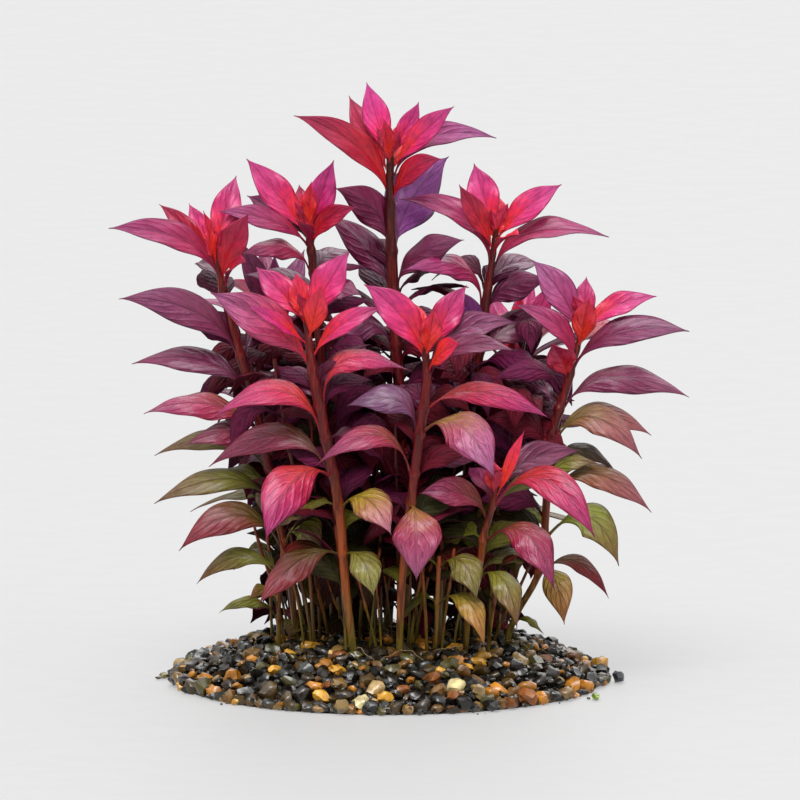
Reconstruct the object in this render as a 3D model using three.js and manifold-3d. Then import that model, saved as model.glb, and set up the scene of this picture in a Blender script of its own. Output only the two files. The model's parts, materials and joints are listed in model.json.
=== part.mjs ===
/*
 * Alternanthera sessilis, a bushy red and purple aquarium plant, standing in a flat-topped heap of
 * gravel. Millimetres, +Z up. The origin is the middle of the heap's flat underside, and the side
 * of the bush that the shoots are arranged for faces -Y.
 *
 * Each shoot is a stem with a crown of young leaves on its tip and pairs of opposite leaves below,
 * each pair on a swollen joint that goes round the stem. Small sprouts are one piece each.
 */
import * as THREE from "three";
import { mergeVertices } from "three/addons/utils/BufferGeometryUtils.js";
import Module from "manifold-3d";

const manifold = await Module();
manifold.setup();

// Driving dimensions
const GAP = 0.3; // clearance between neighbouring pieces
const FOOT_DEPTH = 8; // height of the stem feet inside the gravel
const STEM_SIDES = 6;
const STEM_STEP = 22; // length of stem between two rings of its surface
const CROWN_DROP = 3; // how far a crown reaches down below its lowest leaf
const BUD_RADIUS = 3; // the bud stands for the folded innermost leaves too
const BUD_HEIGHT = 18;
const BUD_RISE = 4; // from the stem's tip to the bud's middle
const BUD_SIDES = 5;
const JOINT_HEIGHT = 3.4; // the swollen joint of a leaf pair
const JOINT_WALL = 1.4;
const BEND_ROOM = 0.3; // extra room in a joint's bore for the stem's curve
const FOOT_INSET = 0.5; // how deep in a joint's wall its leaves start
const FOOT_SHARE = 0.5; // where the leaves of a crown start, as a share of its stem's radius
const SPROUT_RADIUS = 1.4;

// A leaf's blade has a flat upper face and a keel below, where the midrib is: stations from its foot
// to its tip, its half width there as a share of the widest, and the depth of its keel there
const ARCHED_BLADE = { stations: [0, 0.2, 0.5, 0.8, 1], outline: [0.1, 0.55, 1, 0.55, 0], keel: [1, 1.1, 1, 0.8, 0] };
const STRAIGHT_BLADE = { stations: [0, 0.28, 0.64, 1], outline: [0.1, 0.84, 0.9, 0], keel: [1, 1.1, 0.9, 0] };
const LEAST_ARCH = 4; // a leaf that arches less than this is drawn with the straight blade
const EDGE_CLEARANCE = 2; // how much wider a blade's clearance is than the blade

// The gravel heap
const HEAP_RADIUS = 84.5;
const HEAP_SEGMENTS = 38; // twice the number of scallops
const HEAP_PROFILE = [
  [0, 18],
  [40, 17.4],
  [57, 15.4],
  [70, 11],
  [80, 6.6],
  [HEAP_RADIUS, 3.2],
  [HEAP_RADIUS, 0],
];
const LEAST_HEIGHT = 0.01; // what lies lower is the flat underside
const LUMP_HEIGHT = 0.9;
const SCALLOPS = HEAP_SEGMENTS / 2;
const SCALLOP = 1.4; // how far the outermost pebbles stand out of the heap's round edge
const STRAY_PEBBLE_SIZE = [3.2, 2.6, 2];
const STRAY_PEBBLE_PLACE = [92, -5, 1.7];

const STEM_COLOUR = "#6f2322";
const CROWN_COLOUR = "#d03a62";
const LOW_COLOUR = "#7d6a34";
const HIGH_COLOUR = "#8a3a5c";
const GRAVEL_COLOUR = "#3a3430";

/*
 * The shoots. path lists points of the stem's centre line from its foot to its tip. A leaf is
 *   [height of its joint on the stem, tip x, tip y, tip z, width, arch, facing]
 * where arch is the rise of the midrib's middle above a straight line, and facing is the angle
 * that the upper face is turned from straight up towards -Y.
 */
const SHOOTS = {
  front_left: {
    radius: 2.2,
    path: [[-13, -30, 8], [-17, -33, 40], [-20, -35, 76], [-25, -35, 103], [-31, -33, 134], [-33, -30, 152]],
    crown: [
      [149, -16, -30, 178, 14, 1, 65],
      [149, -53, -24, 171, 12, 1, 70],
      [131, -71, -40, 163, 17, 4, 60],
      [143, -58, -52, 160, 9, 2, 40],
      [135, -2, -34, 156, 9, 4, 50],
      [152, -37, -16, 169, 9, 0, 70],
    ],
    pairs: [
      [[116, 9, -32, 130, 12, 13, 50], [116, -48, -14, 127, 12, 5, 50]],
      [[103, -71, -42, 112, 14, 15, 50], [103, -2, -16, 91, 12, 5, 45]],
      [[89, -72, -22, 90, 13, 13, 48], [89, -49, -66, 67, 19, 10, 60]],
      [[76, 1, -58, 68, 16, 8, 55], [76, -46, -8, 62, 12, 5, 45]],
      [[57, -52, -50, 39, 14, 6, 55], [57, -6, -52, 42, 13, 6, 60]],
    ],
  },
  front_centre: {
    radius: 2,
    path: [[4, -32, 8], [5, -37, 43], [8, -40, 72], [12, -42, 104], [15, -41, 128], [14, -39, 144]],
    crown: [
      [134, -10, -38, 166, 16, 3, 70],
      [138, 31, -34, 165, 12, 1, 70],
      [133, 28, -64, 147, 11, 4, 30],
      [130, 51, -34, 150, 13, 7, 50],
      [140, 8, -24, 158, 10, 0, 70],
      [127, 52, -52, 146, 10, 8, 45],
    ],
    pairs: [
      [[116, 64, -38, 112, 11, 8, 50], [116, 0, -20, 128, 11, 3, 50]],
      [[108, -17, -34, 118, 11, 6, 50], [108, 42, -66, 92, 19, 10, 60]],
      [[90, -29, -50, 95, 12, 13, 50], [90, 36, -14, 91, 12, 5, 45]],
      [[78, 11, -60, 50, 20, 8, 85], [78, -11, -16, 56, 12, 4, 50]],
    ],
  },
  low_right: {
    radius: 1.6,
    path: [[30, -26, 8], [32, -31, 34], [36, -35, 51], [38, -39, 66], [41, -40, 76], [43, -41, 86]],
    crown: [
      [81, 54, -44, 108, 8, 0, 60],
      [72, 12, -38, 82, 11, 8, 50],
      [79, 76, -26, 97, 12, 6, 50],
      [76, 74, -14, 84, 9, 5, 45],
      [77, 82, -64, 68, 16, 11, 60],
      [77, 32, -22, 90, 9, 3, 50],
    ],
    pairs: [
      [[63, 66, -60, 46, 16, 12, 55], [63, 20, -14, 57, 12, 5, 45]],
      [[48, 51, -56, 30, 12, 9, 50], [48, 62, -10, 50, 9, 6, 45]],
    ],
  },
  right_side: {
    radius: 1.8,
    path: [[45, -5, 8], [50, -7, 26], [60, -11, 46], [63, -12, 75], [64, -11, 96], [72, -7, 124], [78, -4, 146]],
    crown: [
      [140, 57, 2, 170, 15, 2, 70],
      [143, 79, 4, 163, 9, 0, 80],
      [140, 107, -2, 156, 11, 3, 60],
      [126, 120, -10, 143, 14, 7, 50],
      [127, 50, 4, 153, 9, 8, 50],
      [125, 62, -36, 139, 9, 4, 40],
      [134, 92, 26, 141, 11, 3, 50],
    ],
    pairs: [
      [[111, 120, -8, 116, 13, 10, 50], [111, 48, 10, 113, 13, 6, 45]],
      [[99, 105, -14, 100, 13, 7, 50], [99, 44, 12, 96, 13, 6, 45]],
      [[78, 105, -12, 70, 12, 10, 48], [78, 78, 30, 81, 12, 5, 40]],
      [[61, 92, -16, 49, 15, 12, 50], [61, 52, 20, 67, 12, 5, 45]],
      [[46, 88, -4, 34, 8, 8, 50], [46, 70, -34, 28, 12, 7, 60]],
    ],
  },
  left_top: {
    radius: 1.8,
    path: [[-36, -2, 8], [-41, -5, 52], [-47, -7, 82], [-53, -7, 110], [-63, -4, 146], [-70, -2, 174]],
    crown: [
      [159, -112, -6, 184, 14, 5, 55],
      [170, -92, 6, 192, 8, 1, 70],
      [172, -80, 8, 192, 8, 0, 80],
      [172, -61, 10, 203, 12, 1, 75],
      [161, -56, -6, 190, 12, 2, 55],
      [158, -77, 28, 165, 11, 4, 50],
      [158, -57, -24, 173, 10, 3, 45],
    ],
    pairs: [
      [[132, -108, -10, 156, 15, 8, 50], [132, -36, 14, 145, 14, 5, 50]],
      [[117, -103, 2, 128, 13, 8, 50], [117, -36, 10, 118, 14, 5, 50]],
      [[101, -98, -12, 110, 13, 8, 48], [101, -40, 34, 100, 14, 5, 40]],
      [[87, -94, -4, 90, 13, 10, 48], [87, -76, 30, 96, 12, 5, 40]],
      [[73, -94, -8, 73, 12, 9, 50], [73, -76, 32, 80, 12, 6, 40]],
    ],
  },
  top_centre: {
    radius: 2.3,
    path: [[6, 12, 8], [7, 13, 50], [5, 14, 100], [2, 13, 150], [0.5, 12, 190], [0.5, 12, 212]],
    crown: [
      [190, -38, 4, 228, 14, 3, 55],
      [203, -16, 26, 233, 11, 0, 75],
      [209, -9, 22, 239, 11, 0, 85],
      [210, 12, 16, 232, 8, 0, 80],
      [206, 26, 2, 232, 10, 1, 60],
      [193, 43, 18, 217, 14, 11, 40],
    ],
    pairs: [
      [[172, 24, 36, 206, 18, 3, 75], [172, -22, 2, 199, 14, 6, 60]],
      [[156, 30, -4, 179, 14, 6, 50], [156, -25, 30, 184, 13, 4, 60]],
      [[134, -28, 6, 141, 15, 6, 55], [134, 36, 10, 134, 15, 6, 50]],
      [[98, -14, 62, 98, 14, 8, -60], [98, 28, 60, 94, 14, 8, -60]],
    ],
  },
  right_top: {
    radius: 1.8,
    path: [[28, 14, 8], [30, 14, 60], [34, 12, 110], [38, 9, 146], [41, 7, 168], [43, 6, 182]],
    crown: [
      [180, 34, 16, 207, 13, 0, 80],
      [173, 28, -2, 201, 9, 1, 60],
      [177, 69, 6, 200, 12, 2, 60],
      [171, 52, -24, 184, 8, 3, 40],
      [159, 88, 4, 179, 12, 9, 45],
      [163, 4, 12, 193, 12, 8, 55],
      [159, 60, 36, 164, 12, 3, 50],
    ],
    pairs: [
      [[147, 5, -8, 167, 12, 12, 50], [147, 64, 2, 162, 13, 5, 45]],
      [[132, 28, -14, 160, 11, 2, 60], [132, 67, 16, 146, 14, 3, 50]],
      [[118, 65, -12, 116, 13, 9, 45], [118, 20, 0, 120, 14, 6, 45]],
    ],
  },
  centre_left: {
    radius: 1.7,
    path: [[-18, 8, 8], [-22, 10, 60], [-26, 10, 110], [-29, 9, 150], [-31, 8, 172], [-33, 8, 186]],
    crown: [
      [178, -57, 16, 209, 13, 1, 72],
      [173, -22, 4, 210, 12, 2, 62],
      [174, -68, 0, 190, 12, 3, 45],
      [177, -57, 30, 192, 10, 2, 60],
      [172, -13, -4, 192, 10, 4, 50],
    ],
    pairs: [
      [[164, -60, -2, 172, 10, 7, 45], [164, -15, 34, 169, 12, 4, 45]],
      [[151, -58, 22, 161, 13, 5, 45], [151, -11, 0, 156, 13, 5, 45]],
    ],
  },
  back_left: {
    radius: 1.8,
    path: [[-25, 28, 8], [-33, 33, 60], [-41, 38, 108], [-46, 41, 140]],
    crown: [
      [126, -84, 48, 146, 13, 6, 20],
      [128, -66, 78, 150, 13, 5, -50],
      [132, -52, 66, 168, 11, 1, -60],
      [134, -34, 60, 166, 10, 1, 20],
      [136, -60, 44, 172, 10, 1, 60],
      [126, -18, 72, 146, 13, 6, -40],
    ],
    pairs: [
      [[98, -82, 62, 106, 14, 8, -20], [98, -30, 84, 104, 14, 8, -60]],
      [[64, -80, 42, 62, 13, 8, 20], [64, -20, 76, 60, 13, 8, -60]],
    ],
  },
  back_right: {
    radius: 1.8,
    path: [[26, 32, 8], [36, 38, 58], [46, 43, 98], [52, 46, 126]],
    crown: [
      [112, 90, 58, 130, 13, 6, -20],
      [114, 76, 84, 134, 13, 5, -50],
      [118, 58, 72, 154, 11, 1, -60],
      [120, 38, 64, 152, 10, 1, 20],
      [122, 66, 50, 154, 10, 1, 60],
      [112, 24, 80, 130, 13, 6, -50],
    ],
    pairs: [
      [[86, 88, 66, 94, 14, 8, -30], [86, 36, 88, 92, 14, 8, -70]],
      [[54, 84, 46, 54, 13, 8, 10], [54, 24, 78, 50, 13, 8, -70]],
    ],
  },
};

// Small sprouts: stem and leaves in one piece
const SPROUTS = {
  left_low: {
    path: [[-44, -10, 8], [-44, -13, 35], [-42, -15, 60]],
    leaves: [
      [57, -84, -22, 56, 14, 12, 50],
      [57, -27, 4, 64, 12, 5, 50],
      [44, -77, -12, 41, 9, 9, 50],
      [44, -64, 16, 48, 9, 6, 40],
      [27, -56, -34, 38, 8, 8, 45],
    ],
  },
  small_centre: {
    path: [[18, -30, 8], [19, -33, 30], [20, -35, 56]],
    leaves: [
      [52, 35, -52, 41, 14, 8, 60],
      [52, 1, -12, 45, 10, 5, 45],
      [37, 38, -54, 22, 11, 10, 55],
      [37, 3, -14, 22, 10, 6, 45],
    ],
  },
  back_low: {
    path: [[0, 42, 8], [2, 47, 40], [4, 52, 74]],
    leaves: [
      [70, -22, 70, 88, 13, 5, -50],
      [70, 30, 72, 84, 13, 5, -50],
      [72, 6, 78, 100, 11, 2, -70],
      [52, -32, 82, 52, 12, 8, -60],
      [52, 34, 84, 50, 12, 8, -60],
    ],
  },
};

const vector = ([x, y, z]) => new THREE.Vector3(x, y, z);

// A closed geometry as a solid, joined up where its faces meet
function solidOf(geometry) {
  geometry.deleteAttribute("normal");
  geometry.deleteAttribute("uv");
  const merged = mergeVertices(geometry, 1e-4);
  return new manifold.Manifold(
    new manifold.Mesh({
      numProp: 3,
      vertProperties: new Float32Array(merged.attributes.position.array),
      triVerts: new Uint32Array(merged.index.array),
    }),
  );
}

function geometryOf(solid) {
  const mesh = solid.getMesh();
  const geometry = new THREE.BufferGeometry();
  geometry.setAttribute("position", new THREE.BufferAttribute(new Float32Array(mesh.vertProperties), 3));
  geometry.setIndex(new THREE.BufferAttribute(new Uint32Array(mesh.triVerts), 1));
  geometry.computeVertexNormals();
  return geometry;
}

// The point of a rising curve at a height, found by halving
function pointAtHeight(curve, height) {
  let low = 0;
  let high = 1;
  for (let step = 0; step < 24; step += 1) {
    const middle = (low + high) / 2;
    if (curve.getPointAt(middle).z < height) {
      low = middle;
    } else {
      high = middle;
    }
  }
  return curve.getPointAt(low);
}

// A round rod along a curve from one height to another
function rod(curve, fromZ, toZ, radius) {
  const steps = Math.max(1, Math.round((toZ - fromZ) / STEM_STEP));
  const points = [];
  for (let step = 0; step <= steps; step += 1) {
    points.push(pointAtHeight(curve, fromZ + ((toZ - fromZ) * step) / steps));
  }
  const section = new THREE.Shape();
  for (let side = 0; side < STEM_SIDES; side += 1) {
    const angle = (2 * Math.PI * side) / STEM_SIDES;
    const corner = [radius * Math.cos(angle), radius * Math.sin(angle)];
    if (side === 0) {
      section.moveTo(...corner);
    } else {
      section.lineTo(...corner);
    }
  }
  section.closePath();
  return solidOf(
    new THREE.ExtrudeGeometry(section, {
      steps,
      bevelEnabled: false,
      extrudePath: new THREE.CatmullRomCurve3(points),
    }),
  );
}

// A leaf: a three-sided cone whose rings are flattened into the blade and laid along the midrib
function leaf(curve, footRadius, [height, tipX, tipY, tipZ, width, arch, facing], clearance = 0) {
  const joint = pointAtHeight(curve, height);
  const tip = new THREE.Vector3(tipX, tipY, tipZ);
  const outward = new THREE.Vector3(tip.x - joint.x, tip.y - joint.y, 0).normalize();
  const foot = joint.clone().addScaledVector(outward, footRadius);
  const chord = tip.clone().sub(foot);
  const along = chord.clone().normalize();
  const rise = new THREE.Vector3(0, 0, 1).addScaledVector(outward, 0.2);
  rise.addScaledVector(along, -rise.dot(along)).normalize();
  const bow = (share) => foot.clone().addScaledVector(chord, share).addScaledVector(rise, (arch * 4) / 3);
  const midrib = new THREE.CubicBezierCurve3(foot, bow(1 / 3), bow(2 / 3), tip);

  const turn = THREE.MathUtils.degToRad(facing);
  const upperFace = new THREE.Vector3(0, -Math.sin(turn), Math.cos(turn));
  const side = along.clone().cross(upperFace).normalize();
  const { stations, outline, keel: keelDepth } = arch < LEAST_ARCH ? STRAIGHT_BLADE : ARCHED_BLADE;
  const steps = stations.length - 1;
  const blade = new THREE.ConeGeometry(1, 1, 3, steps);
  const position = blade.attributes.position;
  for (let i = 0; i < position.count; i += 1) {
    const station = Math.round((position.getY(i) + 0.5) * steps);
    const share = stations[station];
    const place = midrib.getPoint(share);
    if (station < steps) {
      const ring = 1 - station / steps;
      const across = -position.getX(i) / ring / Math.sin((2 * Math.PI) / 3);
      const keel = (position.getZ(i) / ring + 0.5) / 1.5;
      const half = (outline[station] * width) / 2 + (clearance > 0 ? EDGE_CLEARANCE : 0);
      const face = side.clone().cross(midrib.getTangent(share));
      place.addScaledVector(side, across * half);
      place.addScaledVector(face, clearance - keel * (keelDepth[station] + 2 * clearance));
    }
    position.setXYZ(i, ...place);
  }
  return solidOf(blade);
}

// The swollen joint that carries a leaf pair: a ring with straight sides, free of the stem inside it
const jointBore = (stemRadius) => (stemRadius + GAP + BEND_ROOM) / Math.cos(Math.PI / STEM_SIDES);

function joint(curve, height, stemRadius, clearance) {
  const bore = jointBore(stemRadius);
  const outside = bore + JOINT_WALL + clearance;
  const half = JOINT_HEIGHT / 2 + clearance;
  const profile = [[bore, -half], [outside, -half], [outside, half], [bore, half], [bore, -half]];
  const outline = profile.map(([radius, rise]) => new THREE.Vector2(radius, rise));
  const geometry = new THREE.LatheGeometry(outline, STEM_SIDES);
  const along = pointAtHeight(curve, height + 1).sub(pointAtHeight(curve, height - 1)).normalize();
  geometry.applyQuaternion(new THREE.Quaternion().setFromUnitVectors(new THREE.Vector3(0, 1, 0), along));
  geometry.translate(...pointAtHeight(curve, height));
  return solidOf(geometry);
}

function bud(curve, top) {
  const geometry = new THREE.ConeGeometry(BUD_RADIUS, BUD_HEIGHT, BUD_SIDES);
  geometry.rotateX(Math.PI / 2);
  geometry.translate(...pointAtHeight(curve, top));
  geometry.translate(0, 0, BUD_RISE);
  return solidOf(geometry);
}

// A pebble: a twenty-faced ball, flattened, turned, and cut level at the ground
function pebble(size, place, turn) {
  const geometry = new THREE.IcosahedronGeometry(1, 0);
  geometry.scale(...size);
  geometry.rotateZ(turn);
  geometry.translate(...place);
  const position = geometry.attributes.position;
  for (let i = 0; i < position.count; i += 1) {
    position.setZ(i, Math.max(position.getZ(i), 0));
  }
  return solidOf(geometry);
}

// The heap: a turned dome with a flat underside, its top lumpy and its edge scalloped by pebbles
function heap() {
  const outline = HEAP_PROFILE.map(([radius, z]) => new THREE.Vector2(radius, z));
  outline.push(new THREE.Vector2(0, 0));
  const geometry = new THREE.LatheGeometry(outline.reverse(), HEAP_SEGMENTS);
  geometry.rotateX(Math.PI / 2);
  const position = geometry.attributes.position;
  for (let i = 0; i < position.count; i += 1) {
    const [x, y, z] = [position.getX(i), position.getY(i), position.getZ(i)];
    const lump = Math.sin(x * 0.55 + 1.3) * Math.sin(y * 0.6 + 0.4) + Math.sin(x * 0.21 - y * 0.27);
    const radius = Math.hypot(x, y);
    const out = radius > HEAP_RADIUS - 1 ? 1 + (SCALLOP * Math.cos(Math.atan2(y, x) * SCALLOPS)) / radius : 1;
    position.setXYZ(i, x * out, y * out, z > LEAST_HEIGHT ? z + LUMP_HEIGHT * 0.5 * lump : 0);
  }
  return solidOf(geometry);
}

function largest(solid) {
  return solid.decompose().reduce((best, piece) => (piece.volume() > best.volume() ? piece : best));
}

function joined(solids) {
  return solids.reduce((whole, solid) => whole.add(solid));
}

const blend = (low, high, share) => new THREE.Color(low).lerp(new THREE.Color(high), share);

/*
 * Every piece as a name, a colour and a function that makes it, grown by a clearance if asked.
 * Stems come first and the front shoots before those behind, because each piece gives way to the
 * ones listed before it.
 */
function pieces() {
  const stems = [];
  const crowns = [];
  const pairs = [];
  for (const [name, shoot] of Object.entries(SHOOTS)) {
    const curve = new THREE.CatmullRomCurve3(shoot.path.map(vector));
    const top = shoot.path.at(-1)[2];
    const crownFoot = Math.min(...shoot.crown.map((row) => row[0])) - CROWN_DROP;
    stems.push({
      name: `stem_${name}`,
      colour: STEM_COLOUR,
      make: (clearance) => rod(curve, FOOT_DEPTH, crownFoot - GAP, shoot.radius + clearance),
    });
    crowns.push({
      name: `crown_${name}`,
      colour: CROWN_COLOUR,
      make: (clearance) => joined([
        rod(curve, crownFoot, top, shoot.radius + clearance),
        bud(curve, top),
        ...shoot.crown.map((row) => leaf(curve, shoot.radius * FOOT_SHARE, row, clearance)),
      ]),
    });
    shoot.pairs.forEach((rows, index) => {
      const footRadius = jointBore(shoot.radius) + FOOT_INSET;
      pairs.push({
        name: `leaves_${name}_${index + 1}`,
        colour: blend(LOW_COLOUR, HIGH_COLOUR, Math.min(rows[0][0] / 110, 1)),
        make: (clearance) => joined([
          joint(curve, rows[0][0], shoot.radius, clearance),
          ...rows.map((row) => leaf(curve, footRadius, row, clearance)),
        ]),
      });
    });
  }
  for (const [name, sprout] of Object.entries(SPROUTS)) {
    const curve = new THREE.CatmullRomCurve3(sprout.path.map(vector));
    crowns.push({
      name: `sprout_${name}`,
      colour: LOW_COLOUR,
      make: (clearance) => joined([
        rod(curve, FOOT_DEPTH, sprout.path.at(-1)[2], SPROUT_RADIUS + clearance),
        ...sprout.leaves.map((row) => leaf(curve, SPROUT_RADIUS * FOOT_SHARE, row, clearance)),
      ]),
    });
  }
  return [...stems, ...crowns, ...pairs, { name: "gravel_heap", colour: GRAVEL_COLOUR, make: heap }];
}

const overlaps = (a, b) => [0, 1, 2].every((axis) => a.min[axis] < b.max[axis] && b.min[axis] < a.max[axis]);

function mesh(name, solid, colour) {
  const material = new THREE.MeshStandardMaterial({ color: colour, roughness: 0.45, metalness: 0 });
  const piece = new THREE.Mesh(geometryOf(solid), material);
  piece.name = name;
  return piece;
}

const plant = new THREE.Group();
const placed = [];
for (const { name, colour, make } of pieces()) {
  let solid = make(0);
  for (const neighbour of placed) {
    if (overlaps(solid.boundingBox(), neighbour.boundingBox())) {
      solid = solid.subtract(neighbour);
    }
  }
  plant.add(mesh(name, largest(solid), colour));
  if (make !== heap) {
    placed.push(make(GAP));
  }
}
plant.add(mesh("stray_pebble", pebble(STRAY_PEBBLE_SIZE, STRAY_PEBBLE_PLACE, 0.4), GRAVEL_COLOUR));

export default plant;
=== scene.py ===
import json
import math
import random
from functools import partial

import bmesh
import bpy
import numpy as np
from mathutils import Euler, Matrix, Vector

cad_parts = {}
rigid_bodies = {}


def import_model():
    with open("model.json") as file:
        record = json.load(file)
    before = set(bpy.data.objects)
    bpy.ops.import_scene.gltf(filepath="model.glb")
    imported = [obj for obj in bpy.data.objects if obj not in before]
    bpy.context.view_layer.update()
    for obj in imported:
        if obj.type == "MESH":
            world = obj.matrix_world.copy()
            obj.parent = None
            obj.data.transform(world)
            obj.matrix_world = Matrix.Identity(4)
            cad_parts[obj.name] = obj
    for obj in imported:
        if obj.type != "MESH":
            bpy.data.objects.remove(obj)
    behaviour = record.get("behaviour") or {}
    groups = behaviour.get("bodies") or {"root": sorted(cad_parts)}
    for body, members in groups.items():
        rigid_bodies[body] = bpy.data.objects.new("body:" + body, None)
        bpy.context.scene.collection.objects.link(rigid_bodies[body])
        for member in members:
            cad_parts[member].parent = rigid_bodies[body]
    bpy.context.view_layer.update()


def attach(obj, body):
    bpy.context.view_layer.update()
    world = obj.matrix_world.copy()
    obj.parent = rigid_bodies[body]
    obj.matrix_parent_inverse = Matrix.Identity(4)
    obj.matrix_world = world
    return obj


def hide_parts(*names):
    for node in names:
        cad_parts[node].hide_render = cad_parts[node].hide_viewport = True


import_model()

bl_info = {
    "name": "Alternanthera Sessilis",
    "version": (1, 0, 0),
    "blender": (4, 5, 0),
    "location": "3D View > Sidebar > Plant",
    "description": "Models a bushy red aquarium plant in a heap of gravel around its packed solids",
    "category": "Add Mesh",
}

MM = 0.001
BODY = "root"

# Leaf tints: the colour at the leaf's foot, at its middle and at its tip
TINTS = {
    "heart": ("#fa3418", "#f4342c", "#e83460"),
    "pink": ("#ea2e22", "#d4286c", "#bc4284"),
    "crimson": ("#c81818", "#b41c34", "#a2284e"),
    "cerise": ("#ac1828", "#aa2450", "#98366a"),
    "magenta": ("#a01424", "#9a1c4a", "#903266"),
    "orchid": ("#a81c2c", "#a0346c", "#9c5c8c"),
    "mauve": ("#981c2c", "#8c345c", "#905a80"),
    "blush": ("#c01c2e", "#b43464", "#985488"),
    "rose": ("#bc2c1c", "#bc1442", "#a42466"),
    "wine": ("#803a18", "#9a1c3c", "#8a3058"),
    "claret": ("#66401a", "#842436", "#80344a"),
    "lilac": ("#8a681a", "#9c304a", "#98567e"),
    "grape": ("#780e2c", "#781846", "#7c325e"),
    "purple": ("#581020", "#6e2040", "#783a58"),
    "violet": ("#7c2c68", "#944a90", "#8c4884"),
    "dusk": ("#601c32", "#602c4c", "#643858"),
    "plum": ("#460a22", "#66123a", "#7a2650"),
    "maroon": ("#50080e", "#701022", "#7c1c2e"),
    "brown": ("#5e4c14", "#782614", "#86222e"),
    "tan": ("#786420", "#965c38", "#985058"),
    "ripe": ("#948614", "#a07c1c", "#b06074"),
    "shade": ("#343610", "#403e18", "#4c3a1e"),
    "olive": ("#76781a", "#7a7826", "#7c5634"),
    "green": ("#706e18", "#808026", "#80803e"),
    "gold": ("#847c24", "#a48428", "#b07038"),
}

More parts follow.
